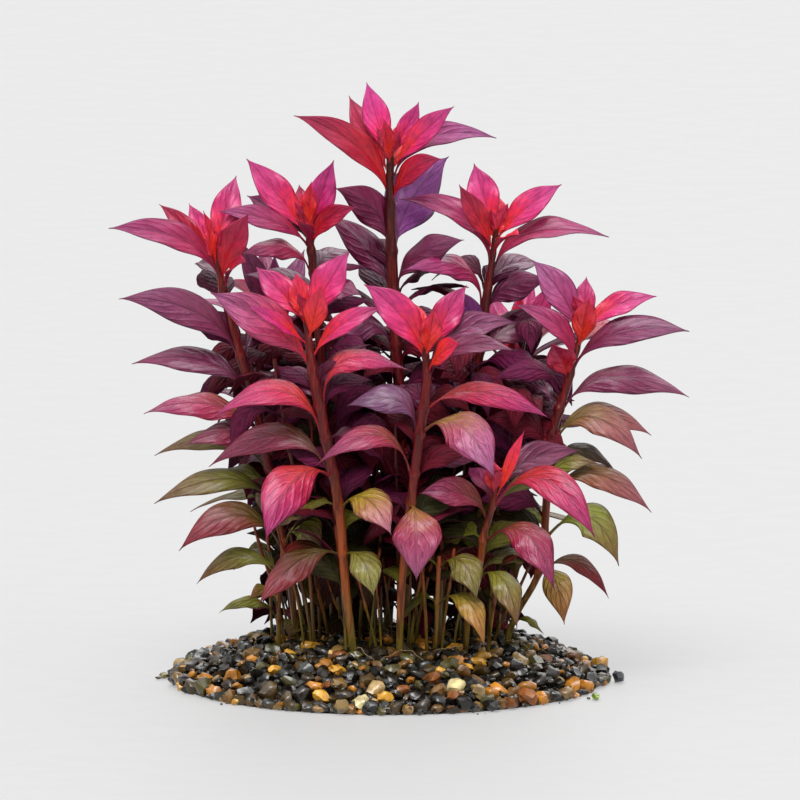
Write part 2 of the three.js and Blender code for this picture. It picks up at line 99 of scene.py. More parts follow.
# The shoots, in millimetres. path lists points of the stem's centre line from foot to tip. A leaf is
# (height of its joint on the stem, tip x, tip y, tip z, width, arch, facing, tint), where arch is the
# rise of the midrib's middle above a straight line, and facing is the angle that the upper face is
# turned from straight up towards -Y.
SHOOTS = {
    "front_left": {
        "radius": 2.2,
        "path": [
            (-13, -30, 8), (-17, -33, 40), (-20, -35, 76), (-25, -35, 103), (-31, -33, 134),
            (-33, -30, 152),
        ],
        "crown": [
            (149, -16, -30, 178, 14, 1, 65, "pink"), (149, -53, -24, 171, 12, 1, 70, "pink"),
            (131, -71, -40, 163, 17, 4, 62, "blush"), (141, -56, -52, 159, 7, 1, 50, "pink"),
            (135, -2, -34, 156, 9, 4, 50, "pink"), (143, -27, -44, 166, 10, 0, 68, "heart"),
            (148, -37, -26, 169, 10, 0, 70, "heart"),
        ],
        "pairs": [
            [(116, 9, -32, 130, 12, 13, 50, "rose"), (116, -48, -14, 127, 12, 5, 50, "plum")],
            [(103, -71, -42, 112, 14, 15, 50, "rose"), (103, -2, -16, 91, 12, 5, 45, "plum")],
            [(89, -72, -22, 90, 13, 13, 48, "claret"), (89, -49, -66, 67, 19, 10, 60, "rose")],
            [(76, 1, -58, 68, 16, 8, 55, "ripe"), (76, -46, -8, 62, 12, 5, 45, "olive")],
            [(57, -52, -50, 39, 14, 6, 55, "brown"), (57, -6, -52, 42, 13, 6, 60, "green")],
        ],
    },
    "front_centre": {
        "radius": 2.0,
        "path": [(4, -32, 8), (5, -37, 43), (8, -40, 72), (12, -42, 104), (15, -41, 128), (14, -39, 144)],
        "crown": [
            (134, -10, -38, 166, 14, 4, 70, "pink"), (138, 31, -34, 165, 12, 1, 70, "pink"),
            (131, 28, -62, 146, 11, 2, 50, "heart"), (137, 18, -48, 158, 9, 0, 64, "heart"),
            (130, 51, -34, 150, 12, 8, 50, "purple"), (140, 8, -24, 158, 10, 0, 70, "heart"),
            (127, 50, -50, 141, 9, 8, 45, "purple"),
        ],
        "pairs": [
            [(116, 64, -38, 112, 11, 8, 50, "rose"), (116, 4, -14, 122, 10, 3, 40, "plum")],
            [(106, -17, -38, 117, 13, 9, 55, "dusk"), (108, 42, -66, 92, 19, 10, 60, "lilac")],
            [(90, -29, -50, 95, 12, 13, 50, "wine"), (90, 36, -14, 91, 12, 5, 45, "plum")],
            [(78, 11, -60, 50, 20, 8, 85, "lilac"), (78, -11, -16, 56, 12, 4, 50, "maroon")],
        ],
    },
    "low_right": {
        "radius": 1.6,
        "path": [(30, -26, 8), (32, -31, 34), (36, -35, 51), (38, -39, 66), (41, -40, 76), (43, -41, 86)],
        "crown": [
            (80, 54, -44, 108, 5, 0, 60, "heart"), (71, 12, -40, 82, 12, 6, 66, "wine"),
            (79, 76, -26, 97, 12, 7, 55, "purple"), (76, 74, -14, 84, 9, 5, 45, "olive"),
            (77, 82, -64, 68, 14, 15, 60, "rose"), (77, 32, -22, 90, 9, 3, 50, "magenta"),
        ],
        "pairs": [
            [(63, 66, -60, 46, 16, 12, 55, "wine"), (63, 20, -14, 57, 12, 5, 45, "olive")],
            [(48, 51, -56, 30, 12, 9, 50, "olive"), (48, 62, -10, 50, 9, 6, 45, "green")],
        ],
    },
    "right_side": {
        "radius": 1.8,
        "path": [
            (45, -5, 8), (50, -7, 26), (60, -11, 46), (63, -12, 75), (64, -11, 96), (72, -7, 124),
            (78, -4, 146),
        ],
        "crown": [
            (140, 57, 2, 170, 13, 3, 66, "orchid"), (143, 79, 4, 163, 9, 0, 80, "pink"),
            (140, 107, -2, 156, 10, 4, 60, "pink"), (126, 120, -10, 143, 13, 8, 54, "grape"),
            (125, 50, -4, 153, 9, 8, 52, "magenta"), (122, 65, -18, 139, 12, 2, 74, "crimson"),
            (136, 80, -20, 158, 10, 0, 66, "heart"), (134, 92, 26, 141, 10, 4, 50, "crimson"),
        ],
        "pairs": [
            [(111, 120, -8, 116, 13, 10, 50, "purple"), (111, 48, 10, 113, 13, 6, 45, "plum")],
            [
                (101, 105, -4, 100, 12, 8, 50, "tan"), (98, 101, -20, 93, 14, 12, 50, "tan"),
                (99, 44, 12, 96, 13, 6, 45, "purple"),
            ],
            [
                (78, 105, -12, 70, 12, 10, 48, "tan"), (80, 84, -14, 90, 9, 6, 50, "olive"),
                (88, 91, -6, 85, 7, 8, 50, "shade"),
            ],
            [(61, 92, -16, 49, 17, 12, 50, "olive"), (61, 52, 20, 67, 12, 5, 45, "olive")],
            [
                (46, 88, -4, 34, 8, 8, 50, "brown"), (46, 70, -34, 28, 12, 7, 60, "gold"),
                (24, 62, -14, 21, 3.5, 4, 50, "green"),
            ],
        ],
    },
    "left_top": {
        "radius": 1.8,
        "path": [
            (-36, -2, 8), (-41, -5, 52), (-47, -7, 82), (-53, -7, 110), (-63, -4, 146), (-70, -2, 174),
        ],
        "crown": [
            (159, -112, -6, 184, 12, 9, 55, "cerise"), (170, -92, 6, 192, 8, 1, 70, "crimson"),
            (172, -80, 8, 192, 8, 0, 80, "pink"), (168, -74, -12, 192, 6, 0, 30, "heart"),
            (172, -61, 10, 203, 12, 1, 75, "pink"), (161, -56, -6, 190, 12, 2, 55, "crimson"),
            (158, -77, 28, 165, 10, 5, 50, "purple"), (158, -57, -24, 173, 9, 4, 45, "crimson"),
        ],
        "pairs": [
            [(132, -108, -10, 156, 15, 8, 50, "purple"), (132, -36, 14, 145, 14, 5, 50, "plum")],
            [(117, -103, 2, 128, 13, 8, 50, "plum"), (117, -36, 10, 118, 14, 5, 50, "plum")],
            [(101, -98, -12, 110, 13, 8, 48, "wine"), (101, -40, 34, 100, 14, 5, 40, "plum")],
            [
                (87, -94, 8, 90, 11, 9, 44, "olive"), (89, -82, -12, 97, 12, 9, 50, "claret"),
                (86, -60, 34, 84, 12, 5, 40, "plum"),
            ],
            [
                (73, -94, -8, 73, 12, 9, 50, "olive"), (75, -76, 6, 79, 10, 8, 40, "olive"),
                (72, -50, -26, 70, 11, 6, 50, "shade"),
            ],
        ],
    },
    "top_centre": {
        "radius": 2.3,
        "path": [(6, 12, 8), (7, 13, 50), (5, 14, 100), (2, 13, 150), (0.5, 12, 190), (0.5, 12, 212)],
        "crown": [
            (190, -38, 4, 228, 12, 8, 55, "crimson"), (203, -16, 26, 233, 11, 0, 75, "crimson"),
            (209, -9, 22, 239, 11, 0, 85, "pink"), (210, 12, 16, 232, 8, 0, 80, "pink"),
            (206, 26, 2, 232, 10, 1, 60, "pink"), (197, 43, 18, 217, 10, 11, 46, "orchid"),
            (190, 21, -6, 212, 11, 5, 50, "crimson"), (207, -2, -4, 228, 7, 0, 40, "heart"),
            (202, 6, 34, 219, 10, 2, 70, "heart"),
        ],
        "pairs": [
            [(172, 24, 36, 207, 22, 5, 80, "violet"), (172, -22, 2, 199, 14, 6, 60, "plum")],
            [(156, 30, -4, 179, 14, 6, 50, "purple"), (156, -25, 30, 184, 13, 4, 60, "plum")],
            [(134, -28, 6, 141, 15, 6, 55, "plum"), (134, 36, 10, 134, 15, 6, 50, "plum")],
            [(98, -14, 62, 98, 14, 8, -60, "plum"), (98, 28, 60, 94, 14, 8, -60, "plum")],
        ],
    },
    "right_top": {
        "radius": 1.8,
        "path": [(28, 14, 8), (30, 14, 60), (34, 12, 110), (38, 9, 146), (41, 7, 168), (43, 6, 182)],
        "crown": [
            (180, 34, 16, 207, 13, 0, 80, "pink"), (173, 28, -2, 201, 9, 1, 60, "crimson"),
            (177, 69, 6, 200, 12, 2, 60, "pink"), (171, 52, -24, 184, 8, 3, 40, "heart"),
            (159, 88, 4, 179, 11, 12, 45, "cerise"), (163, 4, 12, 193, 11, 11, 55, "cerise"),
            (178, 44, 22, 193, 8, 0, 70, "heart"), (159, 60, 36, 164, 11, 4, 50, "purple"),
        ],
        "pairs": [
            [(147, 5, -8, 167, 12, 12, 50, "magenta"), (147, 64, 2, 162, 13, 5, 45, "plum")],
            [(132, 28, -14, 160, 11, 2, 60, "violet"), (132, 67, 16, 146, 14, 3, 50, "purple")],
            [(118, 65, -12, 116, 13, 9, 45, "purple"), (118, 20, 0, 120, 14, 6, 45, "plum")],
        ],
    },
    "centre_left": {
        "radius": 1.7,
        "path": [(-18, 8, 8), (-22, 10, 60), (-26, 10, 110), (-29, 9, 150), (-31, 8, 172), (-33, 8, 186)],
        "crown": [
            (178, -57, 16, 209, 13, 1, 72, "pink"), (173, -22, 4, 210, 12, 2, 62, "pink"),
            (182, -36, 20, 198, 7, 0, 80, "crimson"), (182, -31, 0, 202, 6, 0, 60, "heart"),
            (174, -68, 0, 190, 11, 4, 45, "magenta"), (177, -57, 30, 192, 10, 2, 60, "plum"),
            (172, -13, -4, 192, 9, 5, 50, "crimson"), (173, -36, -22, 189, 8, 3, 40, "crimson"),
        ],
        "pairs": [
            [(164, -60, -2, 172, 10, 7, 45, "magenta"), (164, -15, 34, 169, 12, 4, 45, "plum")],
            [(151, -58, 22, 161, 13, 5, 45, "purple"), (151, -11, 0, 156, 13, 5, 45, "plum")],
        ],
    },
    "back_left": {
        "radius": 1.8,
        "path": [(-25, 28, 8), (-33, 33, 60), (-41, 38, 108), (-46, 41, 140)],
        "crown": [
            (126, -84, 48, 146, 11, 8, 20, "magenta"), (128, -66, 78, 150, 11, 7, -50, "crimson"),
            (132, -52, 66, 168, 11, 1, -60, "cerise"), (134, -34, 60, 166, 10, 1, 20, "grape"),
            (136, -60, 44, 172, 10, 1, 60, "purple"), (126, -18, 72, 146, 11, 8, -40, "crimson"),
            (137, -46, 48, 166, 7, 0, 30, "grape"),
        ],
        "pairs": [
            [(98, -82, 62, 106, 14, 8, -20, "purple"), (98, -30, 84, 104, 14, 8, -60, "magenta")],
            [(64, -80, 42, 62, 13, 8, 20, "olive"), (64, -20, 76, 60, 13, 8, -60, "olive")],
        ],
    },
    "back_right": {
        "radius": 1.8,
        "path": [(26, 32, 8), (36, 38, 58), (46, 43, 98), (52, 46, 126)],
        "crown": [
            (112, 90, 58, 130, 11, 8, -20, "magenta"), (114, 76, 84, 134, 11, 7, -50, "crimson"),
            (118, 58, 72, 154, 11, 1, -60, "pink"), (120, 38, 64, 152, 10, 1, 20, "pink"),
            (122, 66, 50, 154, 10, 1, 60, "pink"), (112, 24, 80, 130, 11, 8, -50, "crimson"),
            (123, 53, 50, 150, 7, 0, 30, "heart"),
        ],
        "pairs": [
            [(86, 88, 66, 94, 14, 8, -30, "purple"), (86, 36, 88, 92, 14, 8, -70, "purple")],
            [(54, 84, 46, 54, 13, 8, 10, "olive"), (54, 24, 78, 50, 13, 8, -70, "brown")],
        ],
    },
}

# Small sprouts, a stem with single leaves
SPROUTS = {
    "left_low": {
        "radius": 1.4,
        "path": [(-44, -10, 8), (-44, -13, 35), (-42, -15, 60)],
        "leaves": [
            (57, -84, -22, 56, 14, 12, 50, "brown"), (58, -27, -28, 58, 14, 8, 60, "olive"),
            (44, -77, -12, 41, 9, 9, 50, "olive"), (44, -64, 16, 48, 9, 6, 40, "olive"),
            (27, -68, -22, 31, 6, 6, 45, "green"), (27, -56, -34, 38, 8, 8, 45, "olive"),
        ],
    },
    "small_centre": {
        "radius": 1.4,
        "path": [(18, -30, 8), (19, -33, 30), (20, -35, 56)],
        "leaves": [
            (52, 35, -52, 41, 14, 8, 60, "green"), (52, 1, -12, 45, 10, 5, 45, "olive"),
            (37, 38, -54, 22, 11, 10, 55, "gold"), (37, 3, -14, 22, 10, 6, 45, "olive"),
        ],
    },
    "back_low": {
        "radius": 1.4,
        "path": [(0, 42, 8), (2, 47, 40), (4, 52, 74)],
        "leaves": [
            (70, -22, 70, 88, 13, 5, -50, "purple"), (70, 30, 72, 84, 13, 5, -50, "magenta"),
            (72, 6, 78, 100, 11, 2, -70, "crimson"), (52, -32, 82, 52, 12, 8, -60, "olive"),
            (52, 34, 84, 50, 12, 8, -60, "brown"), (36, 4, 92, 34, 11, 8, -70, "olive"),
        ],
    },
}
# How many of a shoot's upper pairs are passed to finished() as purple rather than olive
PURPLE_PAIRS = {
    "front_left": 2, "front_centre": 2, "right_side": 2, "left_top": 3,
    "top_centre": 4, "right_top": 3, "centre_left": 2, "back_left": 1,
}
HEART_LEAVES = 5  # the smallest leaves around a shoot's tip
GOLDEN_TURN = 137.5  # degrees from one of them to the next
CROWN_DROP = 3  # how far a crown reaches down below its lowest leaf
FOOT_DEPTH = 8  # height of the stem feet inside the gravel

# The leaves inside the bush: how far they reach to each side, as (height, x), and the y behind which they
# may reach further
LEFT_REACH = [(30, -46), (60, -50), (90, -62), (130, -88), (165, -86), (180, -50), (200, -30), (230, -12)]
RIGHT_REACH = [(30, 52), (60, 62), (90, 80), (120, 96), (140, 84), (165, 70), (190, 44), (215, 16)]
FREE_BACK = 30
INNER_FOOT = 40.0  # the heights between which the shoots have inner leaves
INNER_TOP = 166
FRONT = 6  # no inner leaf of a stem in front of this y reaches out towards -Y
FRONT_ROW = -20  # and the stems in front of this y have inner leaves on their far side only,
FRONT_TOP = 130  # as every stem has above this height
# Their tints above each height, dark, partly the leaves' own colour and partly painted shade inside the
# bush
INNER_TINTS = [
    (150, ("plum", "maroon", "purple")),
    (95, ("plum", "plum", "purple", "maroon")),
    (65, ("plum", "maroon", "shade")),
    (0, ("shade", "shade", "olive", "maroon")),
]

# The thin low shoots: their count, the middle and the half widths of the patch that they stand in, and
# their heights. Each third one is tall and stands further back, to fill the middle of the bush.
LOW_SHOOTS = 78
LOW_MIDDLE = 2
LOW_SPREAD = (48, 34)
LOW_TOPS = (46, 78)
TALL_EACH = 3
TALL_TOPS = (96, 140)
TALL_BACK = 14
LOW_BACK = 5  # low shoots behind this y have leaves close to the gravel too
LOW_FRONT = -24  # no leaf of a low shoot ends in front of this y
LOWEST_TIP = 18  # or below this height
HIGH = 70  # above this height their leaves have the high tints
# The low shoots' leaf tints, dark, partly the leaves' own colour and partly painted shade inside the bush
HIGH_TINTS = ("plum", "maroon")
LOW_TINTS = ("olive", "shade", "brown", "maroon", "shade")

# The gravel heap, in millimetres: its outline as (distance from the middle, height), and its lumps
HEAP_RADIUS = 84.5
HEAP_PROFILE = [(0, 18), (40, 17.4), (57, 15.4), (70, 11), (80, 6.6), (HEAP_RADIUS, 3.2), (92, 0)]
LUMP_HEIGHT = 0.9
# Stones by colour, and how many of a hundred or so have it
STONES = {
    "#161510": 20, "#1e1c16": 16, "#2c2c28": 8, "#1c1208": 12, "#302410": 13, "#4a3818": 11, "#504a24": 8,
    "#704e22": 8, "#b87824": 10, "#d09830": 9, "#8c6c3c": 5, "#8c5224": 4, "#a88c58": 3, "#dccc94": 1.5,
}
# The lower pebbles take only near-black colours, painted shade deep in the heap
SHADED_UNDER_STONES = ("#1c1b18", "#1a1714", "#2a2118", "#302e28")
# The pebble masters: width and height as shares of the length, and how deeply dented they are
PEBBLE_FORMS = [
    (0.82, 0.6, 0.1), (0.7, 0.55, 0.14), (0.9, 0.8, 0.16),
    (0.75, 0.62, 0.2), (0.6, 0.46, 0.14), (0.9, 0.7, 0.26),
]
TOP_PEBBLES = 2300  # pebbles to place on top, of which those that find room are placed
UNDER_PEBBLES = 900  # and to place under them
SCATTER_TRIES = 14  # how often a place is looked for
UNDER_DEPTH = 3.6  # how far below the heap's top the lower pebbles lie
BED_DEPTH = 4.5  # and the bed of grit
BED_EDGE = 0.4  # thickness of the bed at its edge
# Loose stones: x, y, z, half length, colour, tilt and master
STRAY_PEBBLE = (92, -5, 1.6, 3.2, "#2a2c32", 6, 2)
CRUMBS = [
    (82.5, -48, 0.8, 2.8, "#6e8a2c", 4, 4),
    (79.6, -47, 0.6, 1.1, "#4c4a2c", 4, 4),
    (-90, 5, 1.1, 2.4, "#8a8040", 8, 1),
    (-92.5, 2, 0.8, 1.3, "#5a4a2c", 8, 4),
]
SMALL_CRUMBS = 14
ROOTS = 16
ROOT_STEPS = 14
ROOT_STEP = 1.7
ROOT_RADIUS = 0.22

# The stage: the camera's lens and sensor, the width that it sees at the plant in metres, its angle above
# level and its target, and each lamp's turn, strength and spread
LENS = 1000
SENSOR = 36
SEEN_WIDTH = 0.32
CAMERA_ELEVATION = 8.6
CAMERA_TARGET = (4.4, 0, 113.7)
LAMPS = {
    "key_light": ((33, 0, -15), 2.2, 32),
    "fill_light": ((62, 0, 30), 0.3, 50),
    "back_light": ((52, 0, 160), 0.9, 50),
}


def linear(code):
    """A colour written as sRGB hex, as the linear values that Blender's shaders take."""
    shares = [int(code[i : i + 2], 16) / 255 for i in (1, 3, 5)]
    return [s / 12.92 if s <= 0.04045 else ((s + 0.055) / 1.055) ** 2.4 for s in shares] + [1.0]


def colour_property(name, description, code):
    return bpy.props.FloatVectorProperty(
        name=name, description=description, default=linear(code), size=4, min=0, max=1, subtype="COLOR"
    )


def length_property(name, description, millimetres):
    return bpy.props.FloatProperty(
        name=name, description=description, default=millimetres * MM, min=0, precision=5, unit="LENGTH"
    )


def light_property(name, description, strength):
    return bpy.props.FloatProperty(name=name, description=description, default=strength, min=0)


class LeafSettings(bpy.types.PropertyGroup):
    thickness: length_property("Thickness", "Thickness of a leaf between its veins", 0.3)
    cup: length_property("Cup", "How high a young leaf's margins rise from its midrib", 1.3)
    droop: length_property("Droop", "How far an old leaf's margins hang down from its midrib", 1.7)
    wave: length_property("Wave", "How far a leaf's margins wave up and down", 0.6)
    vein_spacing: length_property("Vein spacing", "Distance between side veins on a middling leaf", 4.6)
    young_vein: colour_property("Young veins", "Veins of the young red leaves", "#981230")
    rose_vein: colour_property("Rose veins", "Veins of the older pink leaves", "#f088a8")
    purple_vein: colour_property("Purple veins", "Veins of the purple leaves", "#380a1e")
    olive_vein: colour_property("Olive veins", "Veins of the old olive leaves", "#7a3418")
    young_edge: colour_property("Young margins", "Margins of the young red leaves", "#8c1030")
    purple_edge: colour_property("Purple margins", "Margins of the purple leaves", "#4c1430")
    olive_edge: colour_property("Olive margins", "Margins of the old olive leaves", "#6a2a1c")


class StemSettings(bpy.types.PropertyGroup):
    swelling: length_property("Swelling", "How far a joint stands out of its stem", 0.5)
    top: colour_property("Top", "The youngest part of a stem", "#30060e")
    middle: colour_property("Middle", "The dark red middle of a stem", "#5a0a14")
    low: colour_property("Low", "The orange brown lower part of a stem", "#a04c18")
    foot: colour_property("Foot", "The oldest, olive part of a stem", "#6c6422")
    root: colour_property("Root", "Fine roots over the gravel", "#b49a70")


class GravelSettings(bpy.types.PropertyGroup):
    largest: length_property("Largest", "Half the length of the largest pebbles", 4.4)
    smallest: length_property("Smallest", "Half the length of the smallest pebbles", 1.6)
    # The grit's near-black colour is painted shade in the gaps between the pebbles
    grit: colour_property("Grit", "Wet grit between the pebbles", "#15110e")


class StageSettings(bpy.types.PropertyGroup):
    floor: colour_property("Floor", "The pale studio floor", "#808080")
    floor_radius: length_property("Floor radius", "Radius of the round floor", 24000)
    wall_light: light_property("Wall light", "Light from the sides", 0.3)
    ceiling_light: light_property("Ceiling light", "Light from above", 1.8)


# Selecting, copying and joining

def deselect():
    bpy.ops.object.select_all(action="DESELECT")


def make_active(piece):
    deselect()
    piece.select_set(True)
    bpy.context.view_layer.objects.active = piece


def pick(test):
    """In edit mode, selects the vertices that pass a test, and nothing else."""
    mesh = bpy.context.edit_object.data
    shape = bmesh.from_edit_mesh(mesh)
    for vertex in shape.verts:
        vertex.select_set(test(vertex))
    shape.select_flush_mode()
    bmesh.update_edit_mesh(mesh)


def copied(master, name):
    """A copy of a finished master with a mesh of its own."""
    piece = master.copy()
    piece.data = master.data.copy()
    piece.name = name
    piece.hide_render = False
    bpy.context.collection.objects.link(piece)
    return piece


def joined(name, parts):
    deselect()
    for part in parts:
        part.select_set(True)
    bpy.context.view_layer.objects.active = parts[0]
    if len(parts) > 1:
        bpy.ops.object.join()
    piece = parts[0]
    piece.name = name
    piece.data.name = name
    return piece


def finished(piece, slot, *nodes):
    """Attaches a finished piece to the plant's body, and hides the packed parts named after it."""
    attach(piece, BODY)
    if nodes:
        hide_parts(*nodes)


def store(mesh, name, values):
    """Stores a number or a vector for each vertex under a name that a material reads."""
    values = np.asarray(values, dtype=np.float32)
    kind, field = ("FLOAT", "value") if values.ndim == 1 else ("FLOAT_VECTOR", "vector")
    attribute = mesh.attributes.get(name) or mesh.attributes.new(name, kind, "POINT")
    attribute.data.foreach_set(field, values.ravel())


def blade_values(mesh):
    """Where each vertex of a leaf is: its share along and across the blade, and 1 if it is underneath."""
    values = np.empty(len(mesh.vertices) * 3, dtype=np.float32)
    mesh.attributes["blade"].data.foreach_get("vector", values)
    return values.reshape(-1, 3)


def coordinates(mesh):
    values = np.empty(len(mesh.vertices) * 3, dtype=np.float32)
    mesh.vertices.foreach_get("co", values)
    return values.reshape(-1, 3)


# Stems

def stem_points(path, steps=24):
    """Points of a smooth centre line through the points of a path, evenly stepped between each two."""
    knots = [Vector(point) for point in path]
    knots = [knots[0] * 2 - knots[1], *knots, knots[-1] * 2 - knots[-2]]
    points = []
    for before, start, end, after in zip(knots, knots[1:], knots[2:], knots[3:]):
        gaps = [math.sqrt((b - a).length) for a, b in ((before, start), (start, end), (end, after))]
        leave = (start - before) / gaps[0] - (end - before) / (gaps[0] + gaps[1]) + (end - start) / gaps[1]
        arrive = (end - start) / gaps[1] - (after - start) / (gaps[1] + gaps[2]) + (after - end) / gaps[2]
        leave *= gaps[1]
        arrive *= gaps[1]
        for step in range(steps):
            t = step / steps
            points.append(
                start * (2 * t**3 - 3 * t**2 + 1) + leave * (t**3 - 2 * t**2 + t)
                + end * (3 * t**2 - 2 * t**3) + arrive * (t**3 - t**2)
            )
    points.append(knots[-2])
    return points


def at_height(points, height):
    """The point of a rising line at a height."""
    for low, high in zip(points, points[1:]):
        if high.z >= height:
            return low.lerp(high, max(height - low.z, 0) / max(high.z - low.z, 1e-9))
    return points[-1]


def tubes(name, lines, material, resolution=4):
    """Round tapering tubes as one mesh. A line is a list of (point, radius) in millimetres."""
    curve = bpy.data.curves.new(name, "CURVE")
    curve.dimensions = "3D"
    curve.bevel_depth = MM
    curve.bevel_resolution = resolution
    curve.use_fill_caps = True
    for line in lines:
        spline = curve.splines.new("POLY")
        spline.points.add(len(line) - 1)
        for knot, (point, radius) in zip(spline.points, line):
            knot.co = (*(Vector(point) * MM), 1)
            knot.radius = radius
    piece = bpy.data.objects.new(name, curve)
    bpy.context.collection.objects.link(piece)
    make_active(piece)
    bpy.ops.object.convert(target="MESH")
    bpy.ops.object.shade_smooth()
    piece = bpy.context.object
    piece.data.materials.clear()
    piece.data.materials.append(material)
    return piece


def stem_line(points, low, high, radius, joints, swelling, taper=0.0):
    """A stem's centre line with its radius, swollen at its joints, from one height to another."""
    heights = set(np.arange(low, high, 4.0)) | {low, high}
    for joint in joints:
        heights |= {joint + step for step in (-3, -1.6, -0.6, 0.6, 1.6, 3) if low < joint + step < high}
    line = []
    for height in sorted(heights):
        thick = radius * (1 - taper * (height - low) / (high - low))
        thick *= np.interp(height, [0, 100], [0.64, 1])
        for joint in joints:
            thick += swelling * math.exp(-(((height - joint) / 1.5) ** 2))
        line.append((at_height(points, height), thick))
    return line


# Leaves

LEAF_LENGTH = 30  # of a master, in millimetres
LEAF_WIDTH = 14
# For a count of faces across a blade: how far out, and how high, each row of vertices is moved
COLUMN_PLACES = {
    8: [(0, 0), (0.08, 0.1), (0.42, 0.4), (0.74, 0.72), (1, 1)],
    4: [(0, 0), (0.5, 0.46), (1, 1)],
}
GROOVE = 0.25  # depth of the groove over the midrib
KEEL = [(0, 0.8), (0.1, 0.55), (0.5, 0.35), (1, 0.05)]  # depth of the keel at shares of the blade
TAPER = 1.62  # how finely a blade draws out to its tip
PETIOLE = 0.08  # half width of the leaf stalk, as a share of the blade's
POINT = 0.012  # and of the tip
WAVES = 19  # how far a margin's wave runs over a blade's length, in radians

# For an age of leaf: the stalk's share of its length, where along the blade it is widest, and the faces
# along and across a master's blade. Inner leaves are old ones too, and have few faces, because there are
# hundreds and they are half hidden.
AGES = {"young": (0.07, 0.56, 30, 8), "old": (0.09, 0.5, 30, 8), "inner": (0.09, 0.5, 12, 4)}
MASTERS = 3  # of each age, each more cupped and waved than the one before


def outline(along, stalk, widest):
    """A blade's half width at a share of its length, as a share of the greatest, which it has at another
    such share. The blade starts where the stalk ends."""
    along = max(along - stalk, 0) / (1 - stalk)
    swell = TAPER * widest / (1 - widest)
    blade = (along / widest) ** swell * ((1 - along) / (1 - widest)) ** TAPER
    return max(blade, PETIOLE * min(1, (1 - along) * 4), POINT)


def leaf_master(name, cup, wave, phase, stalk, widest, stations, columns):
    """A leaf blade, flat along X, with cupped halves, waved margins and a groove over a keel."""
    length, half = LEAF_LENGTH * MM, LEAF_WIDTH * MM / 2
    near = 0.2 * length / stations
    deselect()
    bpy.ops.mesh.primitive_grid_add(x_subdivisions=stations, y_subdivisions=columns, size=1)
    blade = bpy.context.object
    blade.name = name
    places = coordinates(blade.data)
    store(blade.data, "blade", np.column_stack((places[:, 0] + 0.5, places[:, 1] * 2, places[:, 2])))
    bpy.ops.object.mode_set(mode="EDIT")
    bpy.ops.transform.translate(value=(0.5, 0, 0))
    bpy.ops.transform.resize(value=(length, half * 2, 1), center_override=(0, 0, 0))
    for column, (inward, lift) in enumerate(COLUMN_PLACES[columns]):
        share = column * 2 / columns
        groove = 0 if column else -GROOVE * MM
        for side in (-1, 1) if column else (0,):
            pick(lambda vertex: abs(vertex.co.y - side * share * half) < 0.1 * half)
            bpy.ops.transform.translate(value=(0, side * (inward - share) * half, lift * cup + groove))
    for station in range(stations + 1):
        along = station / stations
        place = along * length
        share = outline(along, stalk, widest)
        pick(lambda vertex: abs(vertex.co.x - place) < near)
        bpy.ops.transform.resize(value=(1, share, share), center_override=(place, 0, 0))
        for side in (-1, 1):
            rise = wave * share * math.sin(along * WAVES + phase + side * 1.3)
            pick(lambda vertex: abs(vertex.co.x - place) < near and vertex.co.y * side > 0.6 * share * half)
            bpy.ops.transform.translate(value=(0, 0, rise))
    bpy.ops.object.mode_set(mode="OBJECT")
    upper = len(blade.data.vertices)
    shell = blade.modifiers.new("Thickness", "SOLIDIFY")
    shell.thickness = bpy.context.scene.plant_leaves.thickness
    shell.offset = -1
    bpy.ops.object.modifier_apply(modifier=shell.name)
    bpy.ops.object.mode_set(mode="EDIT")
    for station in range(stations):
        place = station / stations * length
        depth = np.interp(station / stations, *zip(*KEEL)) * MM
        pick(
            lambda vertex: vertex.index >= upper and abs(vertex.co.x - place) < near
            and abs(vertex.co.y) < 0.02 * half
        )
        bpy.ops.transform.translate(value=(0, 0, -depth))
    bpy.ops.object.mode_set(mode="OBJECT")
    bpy.ops.object.shade_smooth()
    values = blade_values(blade.data)
    values[:, 2] = np.arange(len(values)) >= upper
    store(blade.data, "blade", values)
    # A leaf is a mirror image of its master, so a master's faces point inwards and a leaf's point outwards
    blade.data.flip_normals()
    blade.hide_render = True


def leaf_copies(age):
    """The leaf masters of an age, modelled once. Young leaves are cupped, and old ones droop."""
    names = [f"{age}_leaf_master_{number}" for number in range(1, MASTERS + 1)]
    if names[0] not in bpy.data.objects:
        leaves = bpy.context.scene.plant_leaves
        cup = leaves.cup if age == "young" else -leaves.droop
        for number, name in enumerate(names):
            more = 0.6 + 0.4 * number
            leaf_master(name, cup * more, leaves.wave * more, number * 1.7, *AGES[age])
    return [bpy.data.objects[name] for name in names]


def bezier(knots, share):
    """The points of a curve with four knots at shares of its way, and its directions there."""
    a, b, c, d = (np.array(knot) for knot in knots)
    rest = 1 - share
    points = a * rest**3 + b * 3 * rest**2 * share + c * 3 * rest * share**2 + d * share**3
    ahead = (b - a) * rest**2 + (c - b) * 2 * rest * share + (d - c) * share**2
    return points, ahead / np.linalg.norm(ahead, axis=1, keepdims=True)


